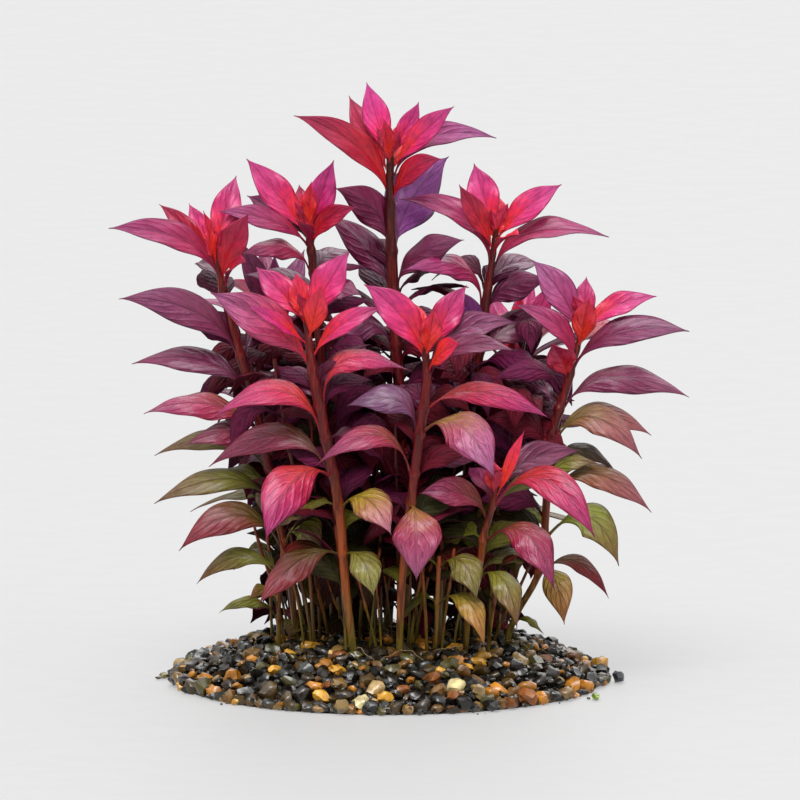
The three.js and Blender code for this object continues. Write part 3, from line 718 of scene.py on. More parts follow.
class Foliage:
    """Lays copies of the leaf masters on stems."""

    def __init__(self, age, seed):
        self.masters = leaf_copies(age)
        self.chance = random.Random(seed)

    def leaf(self, points, row, foot_radius, slot=None, loose=1.0, shade=1.0):
        """One leaf from its joint on a stem's centre line to its tip. The blade is laid along its midrib in
        code, because a curve modifier doesn't hold the way that an upright leaf faces. A shade below 1
        darkens its colours, painted shade for leaves inside the bush."""
        height, *tip, width, arch, facing, tint = row
        chance = self.chance
        tip = Vector(tip)
        joint = at_height(points, height)
        outward = Vector((tip.x - joint.x, tip.y - joint.y, 0)).normalized()
        foot = joint + outward * foot_radius
        chord = tip - foot
        along = chord.normalized()
        rise = Vector((0, 0, 1)) + outward * 0.2
        rise = (rise - along * rise.dot(along)).normalized()
        turn = math.radians(facing)
        side = along.cross(Vector((0, -math.sin(turn), math.cos(turn)))).normalized()
        sway = side * chance.uniform(-1.6, 1.6) * loose
        first = foot + chord * 0.22 + rise * arch * 1.7 - sway
        second = foot + chord * 0.66 + rise * arch * 1.25 + sway

        piece = copied(chance.choice(self.masters), "leaf")
        mesh = piece.data
        flat = coordinates(mesh)
        share = np.clip(flat[:, 0:1] / (LEAF_LENGTH * MM), 0, 1)
        spine, tangent = bezier((foot, first, second, tip), share)
        sides = np.array(side) - tangent * (tangent @ np.array(side))[:, None]
        sides /= np.linalg.norm(sides, axis=1, keepdims=True)
        faces = np.cross(sides, tangent)
        twist = share * math.radians(chance.uniform(-22, 22)) * loose
        turned = sides * np.cos(twist) + faces * np.sin(twist)
        faces = faces * np.cos(twist) - sides * np.sin(twist)
        scale = width / LEAF_WIDTH
        places = spine * MM + turned * flat[:, 1:2] * scale + faces * flat[:, 2:3] * (0.4 + 0.6 * scale)
        mesh.vertices.foreach_set("co", places.astype(np.float32).ravel())

        # Each leaf is a little lighter or darker, and warmer or cooler, than its tint; a shade factor below
        # 1 darkens it further, painted shade inside the bush
        shift = np.array([1, chance.uniform(0.85, 1.15), chance.uniform(0.88, 1.12)])
        shift = shift * chance.uniform(0.88, 1.12) * shade
        foot_tint, middle_tint, tip_tint = (np.array(linear(code)[:3]) * shift for code in TINTS[tint])
        outer = np.clip(share * 1.8 - 0.8, 0, 1)
        across = blade_values(mesh)[:, 1]
        # The colour of the foot runs further out on the half that faces the sky
        store(mesh, "ripe", share[:, 0] + 0.16 * np.abs(across) - 0.3 * turned[:, 2] * across)
        store(mesh, "foot_tint", np.tile(foot_tint, (len(flat), 1)))
        store(mesh, "tint", middle_tint * (1 - outer) + tip_tint * outer)
        mesh.materials.clear()
        mesh.materials.append(leaf_material(slot or tint_slot(tint)))
        mesh.update()
        return piece


# Materials

SMOOTH = {"interpolation_type": "SMOOTHSTEP"}
COLOURS = {"data_type": "RGBA", "clamp_factor": True}


def add_node(tree, kind, inputs=(), **options):
    """Adds a node with its settings and gives back its outputs. Each input, by its order or by its name or
    number, is set to a value, or linked if the value is another node's output."""
    node = tree.nodes.new(f"ShaderNode{kind}")
    for option, value in options.items():
        setattr(node, option, value)
    for socket, value in inputs.items() if isinstance(inputs, dict) else enumerate(inputs):
        if isinstance(value, bpy.types.NodeSocket):
            tree.links.new(value, node.inputs[socket])
        else:
            node.inputs[socket].default_value = value
    return node.outputs


def new_material(name):
    """A material without nodes, and add_node for its tree."""
    material = bpy.data.materials.new(name)
    material.use_nodes = True
    material.node_tree.nodes.clear()
    return material, partial(add_node, material.node_tree)


def surface(add, colour, roughness, height=None, strength=0.0, distance=0.0, **values):
    """The shader and the output, with a bump if a height is given."""
    inputs = {"Base Color": colour, "Roughness": roughness}
    inputs |= {key.replace("_", " "): value for key, value in values.items()}
    if height is not None:
        inputs["Normal"] = add("Bump", {"Strength": strength, "Distance": distance, "Height": height})[0]
    add("OutputMaterial", {"Surface": add("BsdfPrincipled", inputs)[0]})


# For each leaf tissue: its veins' and margins' colours by their names in LeafSettings, how strongly the
# midrib and the side veins show, the underside's colour, the roughness, between which shares of the blade
# the foot's colour ends, the weight of the waxy coat, the gloss under it and the strength of the relief
LEAF_TISSUES = {
    "young_leaf": ("young_vein", "young_edge", (0.3, 0.08), "#a02858", 0.34, (0.2, 0.72), 0.28, 0.42, 0.55),
    "rose_leaf": ("rose_vein", "young_edge", (0.3, 0.26), "#8c2848", 0.3, (0.2, 0.72), 0.22, 0.45, 0.8),
    # The inner leaves' tissue is a darker, duller copy of the purple leaves', with painted shade in its
    # darker underside
    "inner_leaf": ("purple_vein", "purple_edge", (0.3, 0.2), "#401020", 0.5, (0.1, 0.5), 0, 0.2, 0.8),
    "purple_leaf": ("purple_vein", "purple_edge", (0.4, 0.1), "#5c2440", 0.34, (0.1, 0.5), 0.28, 0.44, 0.6),
    "olive_leaf": ("olive_vein", "olive_edge", (0.36, 0.2), "#645030", 0.38, (0.2, 0.8), 0.2, 0.5, 0.8),
}


def leaf_tissue(slot):
    """Living leaf tissue with a thin waxy skin. To the eye it is satin and a little puckered, with veins
    that arch from a groove at the midrib towards the tip, painted shade in that groove, darker margins and
    a duller underside."""
    leaves = bpy.context.scene.plant_leaves
    vein_name, edge_name, vein_shares, under_code, *finish = LEAF_TISSUES[slot]
    roughness, foot_reach, coat, gloss, relief = finish
    vein_colour = getattr(leaves, vein_name)
    material, add = new_material(f"{slot}_tissue")
    tint, foot_tint, blade = (
        add("Attribute", attribute_name=name)["Vector"] for name in ("tint", "foot_tint", "blade")
    )
    ripe = add("Attribute", attribute_name="ripe")["Fac"]
    along, across, under = add("SeparateXYZ", (blade,))
    place = add("TexCoord")["Object"]
    # Blotches of about 3 mm, and grain of about 0.5 mm, coarser than real cells so that it shows
    blotches = add("TexNoise", {"Scale": 330, "Detail": 3, "Vector": place})[0]
    grain = add("TexNoise", {"Scale": 2000, "Detail": 2, "Vector": place})[0]
    # Fine streaks along the blade, about 0.5 mm wide and 6 mm long
    drawn = add("Mapping", {"Scale": (5, 13, 0), "Vector": blade})[0]
    shifted = add("VectorMath", (place, (60, 60, 60), drawn), operation="MULTIPLY_ADD")[0]
    silk = add("TexNoise", {"Scale": 1, "Detail": 3, "Vector": shifted})[0]

    # Where the side veins run: they leave the midrib evenly, slant forward and wander a little
    from_midrib = add("Math", (across, 0), operation="ABSOLUTE")[0]
    phase = add("Math", (along, LEAF_LENGTH * MM / leaves.vein_spacing), operation="MULTIPLY")[0]
    slant = add("Math", (from_midrib, 1.4), operation="POWER")[0]
    slant = add("Math", (slant, 2.9), operation="MULTIPLY")[0]
    phase = add("Math", (phase, slant), operation="SUBTRACT")[0]
    wander = add("Math", (blotches, 0.5), operation="MULTIPLY")[0]
    phase = add("Math", (phase, wander), operation="ADD")[0]
    between = add("Math", (phase, 0.5), operation="PINGPONG")[0]
    patches = add("Math", (blotches, 0.5), operation="SUBTRACT")[0]
    patches = add("Math", (patches, 0.35), operation="MULTIPLY")[0]
    reach = add("Math", (ripe, patches), operation="ADD")[0]

    # Smooth steps, each of a value between two limits, from one share to another
    (
        midrib, side_vein, inside, groove_start, groove_end, side_margin, tip_margin, quilt, rough,
        foot_end, clouded, streaked, veiny,
    ) = (
        add("MapRange", step, **SMOOTH)[0] for step in (
            (from_midrib, 0.015, 0.07, 1, 0), (between, 0, 0.07, 1, 0), (from_midrib, 0.6, 0.95, 1, 0),
            (from_midrib, 0.05, 0.09, 0, 1), (from_midrib, 0.1, 0.2, 1, 0), (from_midrib, 0.86, 1, 0, 1),
            (along, 0.94, 1, 0, 1), (between, 0, 0.3, 0, 1),
            (grain, 0.3, 0.7, roughness - 0.05, roughness + 0.08), (reach, *foot_reach, 0, 1),
            (blotches, 0.4, 0.72, 0, 0.4), (silk, 0.5, 0.7, 0, 0.45), (silk, 0.3, 0.46, 0.16, 0),
        )
    )
    side_vein = add("Math", (side_vein, inside), operation="MULTIPLY")[0]
    # The dark line on each side of the midrib, painted shade in its groove
    beside = add("Math", (groove_start, groove_end), operation="MULTIPLY")[0]
    margin = add("Math", (side_margin, tip_margin), operation="MAXIMUM")[0]
    midrib_vein, side_vein, beside, margin, under, ridge, low_silk, low_grain, quilt = (
        add("Math", factors, operation="MULTIPLY")[0] for factors in (
            (midrib, vein_shares[0]), (side_vein, vein_shares[1]), (beside, 0.5), (margin, 0.6),
            (under, 0.5), (midrib, 0.9), (silk, 0.9), (grain, 0.12), (quilt, 0.9),
        )
    )
    vein = add("Math", (midrib_vein, side_vein), operation="MAXIMUM")[0]

    # The colour of the foot runs out along the midrib in uneven patches
    ground = add("Mix", {0: foot_end, 6: foot_tint, 7: tint}, **COLOURS)[2]
    # A darker copy of the colour, for the leaf's own blotches and streaks and for the painted shade in the
    # groove
    shadow = add("Mix", {0: 1, 6: ground, 7: (0.4, 0.3, 0.36, 1)}, blend_type="MULTIPLY", **COLOURS)[2]
    for share, colour in (
        (clouded, shadow), (streaked, shadow), (veiny, vein_colour), (vein, vein_colour), (beside, shadow),
        (margin, getattr(leaves, edge_name)), (under, linear(under_code)),
    ):
        ground = add("Mix", {0: share, 6: ground, 7: colour}, **COLOURS)[2]
    # The veins stand a little out of the blade, and its streaks and grain are pressed in
    height = add("Math", (ridge, quilt), operation="SUBTRACT")[0]
    for pressed in (low_silk, low_grain):
        height = add("Math", (height, pressed), operation="SUBTRACT")[0]
    surface(
        add, ground, rough, height, relief, 0.0005,
        IOR=1.45, Specular_Tint=(0.9, 0.72, 1, 1), Subsurface_Weight=0.06, Subsurface_Scale=0.001,
        Specular_IOR_Level=gloss, Coat_Weight=coat, Coat_Roughness=0.2,
    )
    return material


def stem_skin():
    """The smooth skin of a soft stem, dark red at the top and olive brown at the foot, with fine streaks
    along it that are partly painted highlights and shade, dark stripes of painted shade and a light gloss."""
    stems = bpy.context.scene.plant_stems
    material, add = new_material("stem_skin")
    place = add("TexCoord")["Object"]
    height = add("SeparateXYZ", (place,))[2]
    wide = add("TexNoise", {"Scale": 40, "Detail": 2, "Vector": place})[0]
    for amount, operation in ((0.5, "SUBTRACT"), (0.05, "MULTIPLY"), (height, "ADD")):
        wide = add("Math", (wide, amount), operation=operation)[0]
    # Streaks about 0.6 mm wide and many times as long, partly painted highlights and shade, and dark
    # stripes about 2 mm wide and 30 mm long, painted shade on the stem's sides
    narrow = add("Mapping", {"Scale": (1700, 1700, 90), "Vector": place})[0]
    streaks = add("TexNoise", {"Scale": 1, "Detail": 3, "Vector": narrow})[0]
    broad = add("Mapping", {"Scale": (480, 480, 32), "Vector": place})[0]
    stripes = add("TexNoise", {"Scale": 1, "Detail": 2, "Vector": broad})[0]
    colour = stems.foot
    for value, low, high, start, end, paint in (
        (wide, 0.02, 0.052, 0, 1, stems.low),
        (wide, 0.045, 0.09, 0, 1, stems.middle),
        (wide, 0.14, 0.2, 0, 1, stems.top),
        # Light streaks are partly painted highlights, dark streaks partly painted shade, and the stripes
        # are painted shade
        (streaks, 0.45, 0.75, 0, 0.35, linear("#a83e24")),
        (streaks, 0.25, 0.5, 0.35, 0, linear("#2a0c10")),
        (stripes, 0.46, 0.6, 0, 0.65, linear("#34080c")),
    ):
        share = add("MapRange", (value, low, high, start, end), **SMOOTH)[0]
        colour = add("Mix", {0: share, 6: colour, 7: paint}, **COLOURS)[2]
    surface(
        add, colour, add("MapRange", (streaks, 0.3, 0.7, 0.3, 0.42), **SMOOTH)[0], streaks, 0.35, 0.0003,
        IOR=1.45, Specular_IOR_Level=0.3, Specular_Tint=(1, 0.75, 0.6, 1),
        Coat_Weight=0.3, Coat_Roughness=0.14,
    )
    return material


def pebble_stone():
    """River pebbles, tumbled smooth and wet: dark slate and warm quartz with speckles and clouds, a fine
    pitted surface and small sharp highlights."""
    material, add = new_material("wet_river_pebble")
    stone = add("Attribute", attribute_name="stone")["Vector"]
    place = add("TexCoord")["Object"]
    # Clouds of about 3 mm, and speckles of about 0.5 mm
    clouds = add("TexNoise", {"Scale": 380, "Detail": 4, "Vector": place})[0]
    specks = add("TexNoise", {"Scale": 2300, "Detail": 2, "Vector": place})[0]
    colour = stone
    for value, low, high, most, shade in (
        (clouds, 0.38, 0.66, 0.65, (0.35, 0.3, 0.27, 1)),
        (specks, 0.56, 0.75, 0.35, (1.7, 1.6, 1.5, 1)),
    ):
        share = add("MapRange", (value, low, high, 0, most), **SMOOTH)[0]
        toned = add("Mix", {0: 1, 6: stone, 7: shade}, blend_type="MULTIPLY", **COLOURS)[2]
        colour = add("Mix", {0: share, 6: colour, 7: toned}, **COLOURS)[2]
    height = add("Math", (clouds, add("Math", (specks, 0.3), operation="MULTIPLY")[0]), operation="ADD")[0]
    surface(
        add, colour, add("MapRange", (clouds, 0.35, 0.65, 0.16, 0.4), **SMOOTH)[0], height, 0.35, 0.0006,
        IOR=1.5, Specular_IOR_Level=0.45, Coat_Weight=0.34, Coat_Roughness=0.07,
    )
    return material


def wet_grit():
    """Wet grit under the pebbles, near-black as painted shade, seen only as the dark of the gaps."""
    material, add = new_material("wet_grit")
    grains = add("TexVoronoi", {"Scale": 900, "Vector": add("TexCoord")["Object"]})["Distance"]
    colours = {6: bpy.context.scene.plant_gravel.grit, 7: linear("#2c2520")}
    rough = add("MapRange", (grains, 0.1, 0.6, 0.45, 0.7), **SMOOTH)[0]
    # Each grain stands up at its middle
    height = add("Math", (1, grains), operation="SUBTRACT")[0]
    surface(add, add("Mix", {0: grains} | colours, **COLOURS)[2], rough, height, 0.8, 0.0008, IOR=1.5)
    return material


def root_fibre():
    """Fine dry root, pale and matt."""
    material, add = new_material("root_fibre")
    fibres = add("TexNoise", {"Scale": 900, "Detail": 3, "Vector": add("TexCoord")["Object"]})[0]
    colours = {6: bpy.context.scene.plant_stems.root, 7: linear("#6a4a30")}
    rough = add("MapRange", (fibres, 0.3, 0.7, 0.5, 0.7), **SMOOTH)[0]
    surface(add, add("Mix", {0: fibres} | colours, **COLOURS)[2], rough, fibres, 0.4, 0.0003, IOR=1.45)
    return material


def studio_paper():
    """Matt studio paper, faintly mottled, so that it stays plain. It glows a little, because the photo's
    shadow is very faint."""
    floor = bpy.context.scene.plant_stage.floor
    material, add = new_material("studio_paper")
    fibres = add("TexNoise", {"Scale": 60, "Detail": 2, "Vector": add("TexCoord")["Object"]})[0]
    colours = {6: floor, 7: [share * 0.995 for share in floor[:3]] + [1]}
    rough = add("MapRange", (fibres, 0.3, 0.7, 0.5, 0.55), **SMOOTH)[0]
    surface(
        add, add("Mix", {0: fibres} | colours, **COLOURS)[2], rough,
        Specular_IOR_Level=0.2, Emission_Color=floor, Emission_Strength=1.64,
    )
    return material


def soft_room(stage):
    """A white room lit from its ceiling: bright overhead, dim at the walls, and plain to the camera."""
    world = bpy.data.worlds.new("soft_room")
    world.use_nodes = True
    world.node_tree.nodes.clear()
    add = partial(add_node, world.node_tree)
    up = add("SeparateXYZ", (add("TexCoord")["Generated"],))[2]
    lit = add("MapRange", (up, 0.3, 0.95, stage.wall_light, stage.ceiling_light), **SMOOTH)[0]
    room = add("Background", {"Color": linear("#f8f8f8"), "Strength": lit})[0]
    backdrop = add("Background", {"Color": linear("#eaeaea")})[0]
    both = add("MixShader", (add("LightPath")["Is Camera Ray"], room, backdrop))[0]
    add("OutputWorld", {"Surface": both})
    return world


def material(name, make, *values):
    """A material by its name, made once."""
    return bpy.data.materials.get(name) or make(*values)


def leaf_material(slot):
    return material(f"{slot}_tissue", leaf_tissue, slot)


def tint_slot(tint):
    """Which leaf material a tint belongs to."""
    if tint in ("heart", "pink", "crimson"):
        return "young_leaf"
    if tint in ("blush", "rose", "wine", "claret", "lilac"):
        return "rose_leaf"
    if tint in ("brown", "tan", "ripe", "shade", "olive", "green", "gold"):
        return "olive_leaf"
    return "purple_leaf"


# Operators

class PLANT_OT_stage(bpy.types.Operator):
    """Sets the pale floor, the soft light and the camera"""

    bl_idname = "plant.stage"
    bl_label = "Stage"

    def execute(self, context):
        scene = context.scene
        bpy.ops.object.camera_add()
        camera = context.object
        camera.data.sensor_width = SENSOR
        camera.data.lens = LENS
        camera.data.clip_end = 100
        elevation = math.radians(CAMERA_ELEVATION)
        away = Vector((0, -math.cos(elevation), math.sin(elevation))) * (SEEN_WIDTH * LENS / SENSOR)
        camera.location = Vector(CAMERA_TARGET) * MM + away
        camera.rotation_euler = (math.pi / 2 - elevation, 0, 0)
        scene.camera = camera

        deselect()
        radius = scene.plant_stage.floor_radius
        bpy.ops.mesh.primitive_circle_add(vertices=96, radius=radius, fill_type="NGON")
        floor = context.object
        floor.name = "studio_floor"
        floor.data.materials.append(studio_paper())

        scene.world = soft_room(scene.plant_stage)
        for name, (turn, energy, spread) in LAMPS.items():
            bpy.ops.object.light_add(type="SUN", rotation=[math.radians(angle) for angle in turn])
            lamp = context.object
            lamp.name = name
            lamp.data.energy = energy
            lamp.data.angle = math.radians(spread)
        scene.view_settings.view_transform = "Standard"
        return {"FINISHED"}


class PLANT_OT_stems(bpy.types.Operator):
    """Models the stems of the shoots"""

    bl_idname = "plant.stems"
    bl_label = "Stems"

    def execute(self, context):
        skin = material("stem_skin", stem_skin)
        swelling = context.scene.plant_stems.swelling / MM
        for name, shoot in SHOOTS.items():
            joints = [pair[0][0] for pair in shoot["pairs"]]
            points = stem_points(shoot["path"])
            line = stem_line(points, FOOT_DEPTH, crown_foot(shoot), shoot["radius"], joints, swelling)
            finished(tubes(f"{name}_stem", [line], skin), "stem", f"stem_{name}")
        return {"FINISHED"}


def crown_foot(shoot):
    """The height at which a shoot's stem ends and its crown starts."""
    return min(row[0] for row in shoot["crown"]) - CROWN_DROP


def heart_leaves(points, top, chance):
    """Rows for the smallest leaves, which stand close around a shoot's tip."""
    rows = []
    turn = chance.uniform(0, 360)
    for number in range(HEART_LEAVES):
        turn += GOLDEN_TURN
        height = top - 1 - 5 * number / HEART_LEAVES
        joint = at_height(points, height)
        lean = chance.uniform(3, 6)
        x = joint.x + lean * math.cos(math.radians(turn))
        y = joint.y + lean * math.sin(math.radians(turn))
        facing = 70 if y > joint.y else -50
        tip_z = height + chance.uniform(9, 13)
        rows.append((height, x, y, tip_z, chance.uniform(4, 5.5), 0.4, facing, "heart"))
    return rows


class PLANT_OT_crowns(bpy.types.Operator):
    """Models the crown of young leaves on each shoot's tip"""

    bl_idname = "plant.crowns"
    bl_label = "Crowns"

    def execute(self, context):
        skin = material("stem_skin", stem_skin)
        foliage = Foliage("young", 11)
        for name, shoot in SHOOTS.items():
            points = stem_points(shoot["path"])
            radius = shoot["radius"]
            top = shoot["path"][-1][2]
            joints = sorted({row[0] for row in shoot["crown"]})
            line = stem_line(points, crown_foot(shoot), top, radius, joints, 0.25, 0.6)
            parts = [tubes("axis", [line], skin)]
            parts += [foliage.leaf(points, row, radius * 0.3, loose=0.7) for row in shoot["crown"]]
            rows = heart_leaves(points, top, foliage.chance)
            parts += [foliage.leaf(points, row, 0.2, loose=0.7) for row in rows]
            finished(joined(f"{name}_crown", parts), "young_leaf", f"crown_{name}")
        return {"FINISHED"}


class PLANT_OT_pairs(bpy.types.Operator):
    """Models the pairs of opposite leaves down each stem"""

    bl_idname = "plant.pairs"
    bl_label = "Leaf pairs"

    def execute(self, context):
        foliage = Foliage("old", 23)
        for name, shoot in SHOOTS.items():
            points = stem_points(shoot["path"])
            for number, rows in enumerate(shoot["pairs"], 1):
                parts = [foliage.leaf(points, row, shoot["radius"] * 0.6) for row in rows]
                slot = "purple_leaf" if number <= PURPLE_PAIRS.get(name, 0) else "olive_leaf"
                finished(joined(f"{name}_pair_{number}", parts), slot, f"leaves_{name}_{number}")
        return {"FINISHED"}


class PLANT_OT_sprouts(bpy.types.Operator):
    """Models the small sprouts"""

    bl_idname = "plant.sprouts"
    bl_label = "Sprouts"

    def execute(self, context):
        skin = material("stem_skin", stem_skin)
        foliage = Foliage("old", 37)
        for name, sprout in SPROUTS.items():
            points = stem_points(sprout["path"])
            radius = sprout["radius"]
            top = sprout["path"][-1][2]
            joints = sorted({row[0] for row in sprout["leaves"]})
            line = stem_line(points, FOOT_DEPTH, top, radius, joints, 0.4, 0.3)
            parts = [tubes("axis", [line], skin)]
            parts += [foliage.leaf(points, row, radius * 0.5) for row in sprout["leaves"]]
            finished(joined(f"{name}_sprout", parts), "olive_leaf", f"sprout_{name}")
        return {"FINISHED"}


def reached(joint, angle, reach):
    """The point level with a joint, at an angle round it and a distance from it."""
    return joint + Vector((math.cos(angle), math.sin(angle), 0)) * reach


def hidden(tip):
    """Whether a loose leaf's tip, in millimetres, stays within the outline that the outer leaves make."""
    left = np.interp(tip.z, *zip(*LEFT_REACH))
    right = np.interp(tip.z, *zip(*RIGHT_REACH))
    return tip.y > FREE_BACK or left < tip.x < right


class PLANT_OT_inner_leaves(bpy.types.Operator):
    """Models the shaded leaves inside the bush, between the pairs"""

    bl_idname = "plant.inner_leaves"
    bl_label = "Inner leaves"

    def execute(self, context):
        foliage = Foliage("inner", 53)
        chance = random.Random(71)
        for name, shoot in SHOOTS.items():
            points = stem_points(shoot["path"])
            top = min(crown_foot(shoot) + CROWN_DROP - 2, INNER_TOP)
            parts = []
            turn = chance.uniform(0, 180)
            height = INNER_FOOT
            while height < top:
                if all(abs(height - pair[0][0]) > 2.5 for pair in shoot["pairs"]):
                    turn += 90 + chance.uniform(-20, 20)
                    for angle in (math.radians(turn), math.radians(turn + 180)):
                        row = self.row(points, height, angle, chance)
                        if row:
                            radius = shoot["radius"] * 0.6
                            # shade=0.8 darkens these leaves' colours, painted shade inside the bush
                            parts.append(foliage.leaf(points, row, radius, "inner_leaf", shade=0.8))
                height += chance.uniform(4.5, 7)
            finished(joined(f"{name}_inner_leaves", parts), "purple_leaf")
        return {"FINISHED"}

    def row(self, points, height, angle, chance):
        """The row of a leaf that leaves its stem at an angle, or nothing if it would show in front of the
        outer leaves or past their outline."""
        joint = at_height(points, height)
        backward = math.sin(angle)
        far_side_only = joint.y < FRONT_ROW or height > FRONT_TOP
        if backward < (0.3 if far_side_only else -0.3 if joint.y < FRONT else -1):
            return None
        tip = reached(joint, angle, chance.uniform(24, 34))
        if not hidden(tip):
            return None
        facing = 50 if backward < 0.3 else chance.uniform(-30, 40)
        rise, width, arch = (chance.uniform(*limits) for limits in ((2, 18), (12, 15), (4, 9)))
        tints = next(tints for above, tints in INNER_TINTS if height > above)
        return height, tip.x, tip.y, height + rise, width, arch, facing, chance.choice(tints)


class PLANT_OT_low_shoots(bpy.types.Operator):
    """Models the many thin stems near the gravel, with their small old leaves"""

    bl_idname = "plant.low_shoots"
    bl_label = "Low shoots"

    def execute(self, context):
        foliage = Foliage("inner", 89)
        chance = random.Random(97)
        lines, leaves = [], []
        for number in range(LOW_SHOOTS):
            turn = number * 2.4
            spread = math.sqrt((number + 0.5) / LOW_SHOOTS)
            x = LOW_MIDDLE + LOW_SPREAD[0] * spread * math.cos(turn) + chance.uniform(-3, 3)
            y = LOW_MIDDLE + LOW_SPREAD[1] * spread * math.sin(turn) + chance.uniform(-3, 3)
            tall = number % TALL_EACH == 0
            top = chance.uniform(*(TALL_TOPS if tall else LOW_TOPS))
            y += TALL_BACK * tall
            lean_x = (x - LOW_MIDDLE) * 0.3 + chance.uniform(-8, 8)
            lean_y = (y - LOW_MIDDLE) * 0.25 + chance.uniform(-6, 6)
            path = [(0, 0, FOOT_DEPTH), (0.25, 0.3, top * 0.45), (0.75, 0.8, top * 0.8), (1, 1, top)]
            points = stem_points([(x + lean_x * a, y + lean_y * b, z) for a, b, z in path], 8)
            radius = chance.uniform(0.55, 1.25)
            heights = [top - 2, top - chance.uniform(10, 16)]
            if tall:
                heights += [top - chance.uniform(down, down + 6) for down in (22, 34, 46)]
            elif y > LOW_BACK:
                heights += [chance.uniform(32, 42), chance.uniform(14, 26)]
            lines.append(stem_line(points, FOOT_DEPTH, top, radius, heights, 0.25, 0.3))
            heading = math.atan2(lean_y, lean_x)
            for level, height in enumerate(heights):
                for half in (-1, 1):
                    angle = heading + half * (1.5 - (level % 2) * 0.7) + (level // 2) * 0.8
                    angle += chance.uniform(-0.3, 0.3)
                    tip = reached(at_height(points, height), angle, chance.uniform(18, 27))
                    if tip.y < LOW_FRONT or not hidden(tip):
                        continue
                    drop, width, arch = (chance.uniform(*limits) for limits in ((-16, 4), (9, 13), (5, 9)))
                    facing = 50 if math.sin(angle) < 0.3 else -20
                    tint = chance.choice(HIGH_TINTS if height > HIGH else LOW_TINTS)
                    row = (height, tip.x, tip.y, max(height + drop, LOWEST_TIP), width, arch, facing, tint)
                    # shade=0.8 darkens these leaves' colours, painted shade inside the bush
                    leaves.append(foliage.leaf(points, row, radius * 0.5, "inner_leaf", shade=0.8))
        finished(tubes("low_stems", lines, material("stem_skin", stem_skin), 2), "stem")
        finished(joined("low_leaves", leaves), "olive_leaf")
        return {"FINISHED"}


def heap_height(x, y):
    """Height of the heap's top at a place, in millimetres."""
    radius = math.hypot(x, y)
    lump = math.sin(x * 0.55 + 1.3) * math.sin(y * 0.6 + 0.4) + math.sin(x * 0.21 - y * 0.27)
    return float(np.interp(radius, *zip(*HEAP_PROFILE))) + LUMP_HEIGHT * 0.5 * lump * (radius < HEAP_RADIUS)


def pebble_masters():
    """Pebbles of a few dozen faces: flattened, dented and partly chipped balls."""
    masters = []
    for number, (wide, high, dent) in enumerate(PEBBLE_FORMS, 1):
        deselect()
        bpy.ops.mesh.primitive_ico_sphere_add(subdivisions=2, radius=MM)
        pebble = bpy.context.object
        pebble.name = f"pebble_master_{number}"
        bpy.ops.object.mode_set(mode="EDIT")
        bpy.ops.mesh.select_all(action="SELECT")
        bpy.ops.transform.vertex_random(offset=dent * MM, uniform=1, normal=0.4, seed=number)
        bpy.ops.transform.resize(value=(1, wide, high), center_override=(0, 0, 0))
        bpy.ops.object.mode_set(mode="OBJECT")
        bpy.ops.object.shade_smooth_by_angle(angle=math.radians(48))
        pebble.hide_render = True
        masters.append(pebble)
    return masters


class Pebbles:
    """Places pebbles, each a copy of a master with a mesh and a colour of its own."""

    def __init__(self, seed):
        self.masters = pebble_masters()
        self.chance = random.Random(seed)
        self.stone = material("wet_river_pebble", pebble_stone)

    def place(self, x, y, z, size, code=None, tilt=25, master=None):
        """One pebble, its size half its length, in millimetres."""
        chance = self.chance
        turns = [math.radians(chance.uniform(-tilt, tilt)) for _ in range(2)] + [chance.uniform(0, 6.28)]
        scale = (size, size * chance.uniform(0.85, 1.15), size * chance.uniform(0.9, 1.2))
        piece = copied(chance.choice(self.masters) if master is None else self.masters[master], "pebble")
        piece.data.transform(Matrix.LocRotScale(Vector((x, y, z)) * MM, Euler(turns), Vector(scale)))
        sunk = coordinates(piece.data)[:, 2].min()
        if sunk < 0:
            piece.data.transform(Matrix.Translation((0, 0, -sunk)))
        code = code or chance.choices(list(STONES), STONES.values())[0]
        colour = np.array(linear(code)[:3]) * chance.uniform(0.75, 1.25)
        store(piece.data, "stone", np.tile(colour, (len(piece.data.vertices), 1)))
        piece.data.materials.append(self.stone)
        return piece

    def place_round(self, angle, radius, size, tilt):
        """One pebble that lies on the floor, at an angle and a distance from the heap's middle."""
        return self.place(radius * math.cos(angle), radius * math.sin(angle), size * 0.5, size, tilt=tilt)


def scattered(chance, sizes, spacing, limit):
    """Places for round things of the given sizes in a disc, largest first, none much into another."""
    cell = 2 * max(sizes)
    grid = {}
    places = []
    for size in sorted(sizes, reverse=True):
        for _ in range(SCATTER_TRIES):
            radius = limit * math.sqrt(chance.random())
            angle = chance.uniform(0, 2 * math.pi)
            x, y = radius * math.cos(angle), radius * math.sin(angle)
            column, row = int(x // cell), int(y // cell)
            cells = [(column + i, row + j) for i in (-1, 0, 1) for j in (-1, 0, 1)]
            near = [other for key in cells for other in grid.get(key, [])]
            if all(math.hypot(x - other[0], y - other[1]) > spacing * (size + other[2]) for other in near):
                grid.setdefault((column, row), []).append((x, y, size))
                places.append((x, y, size))
                break
    return places


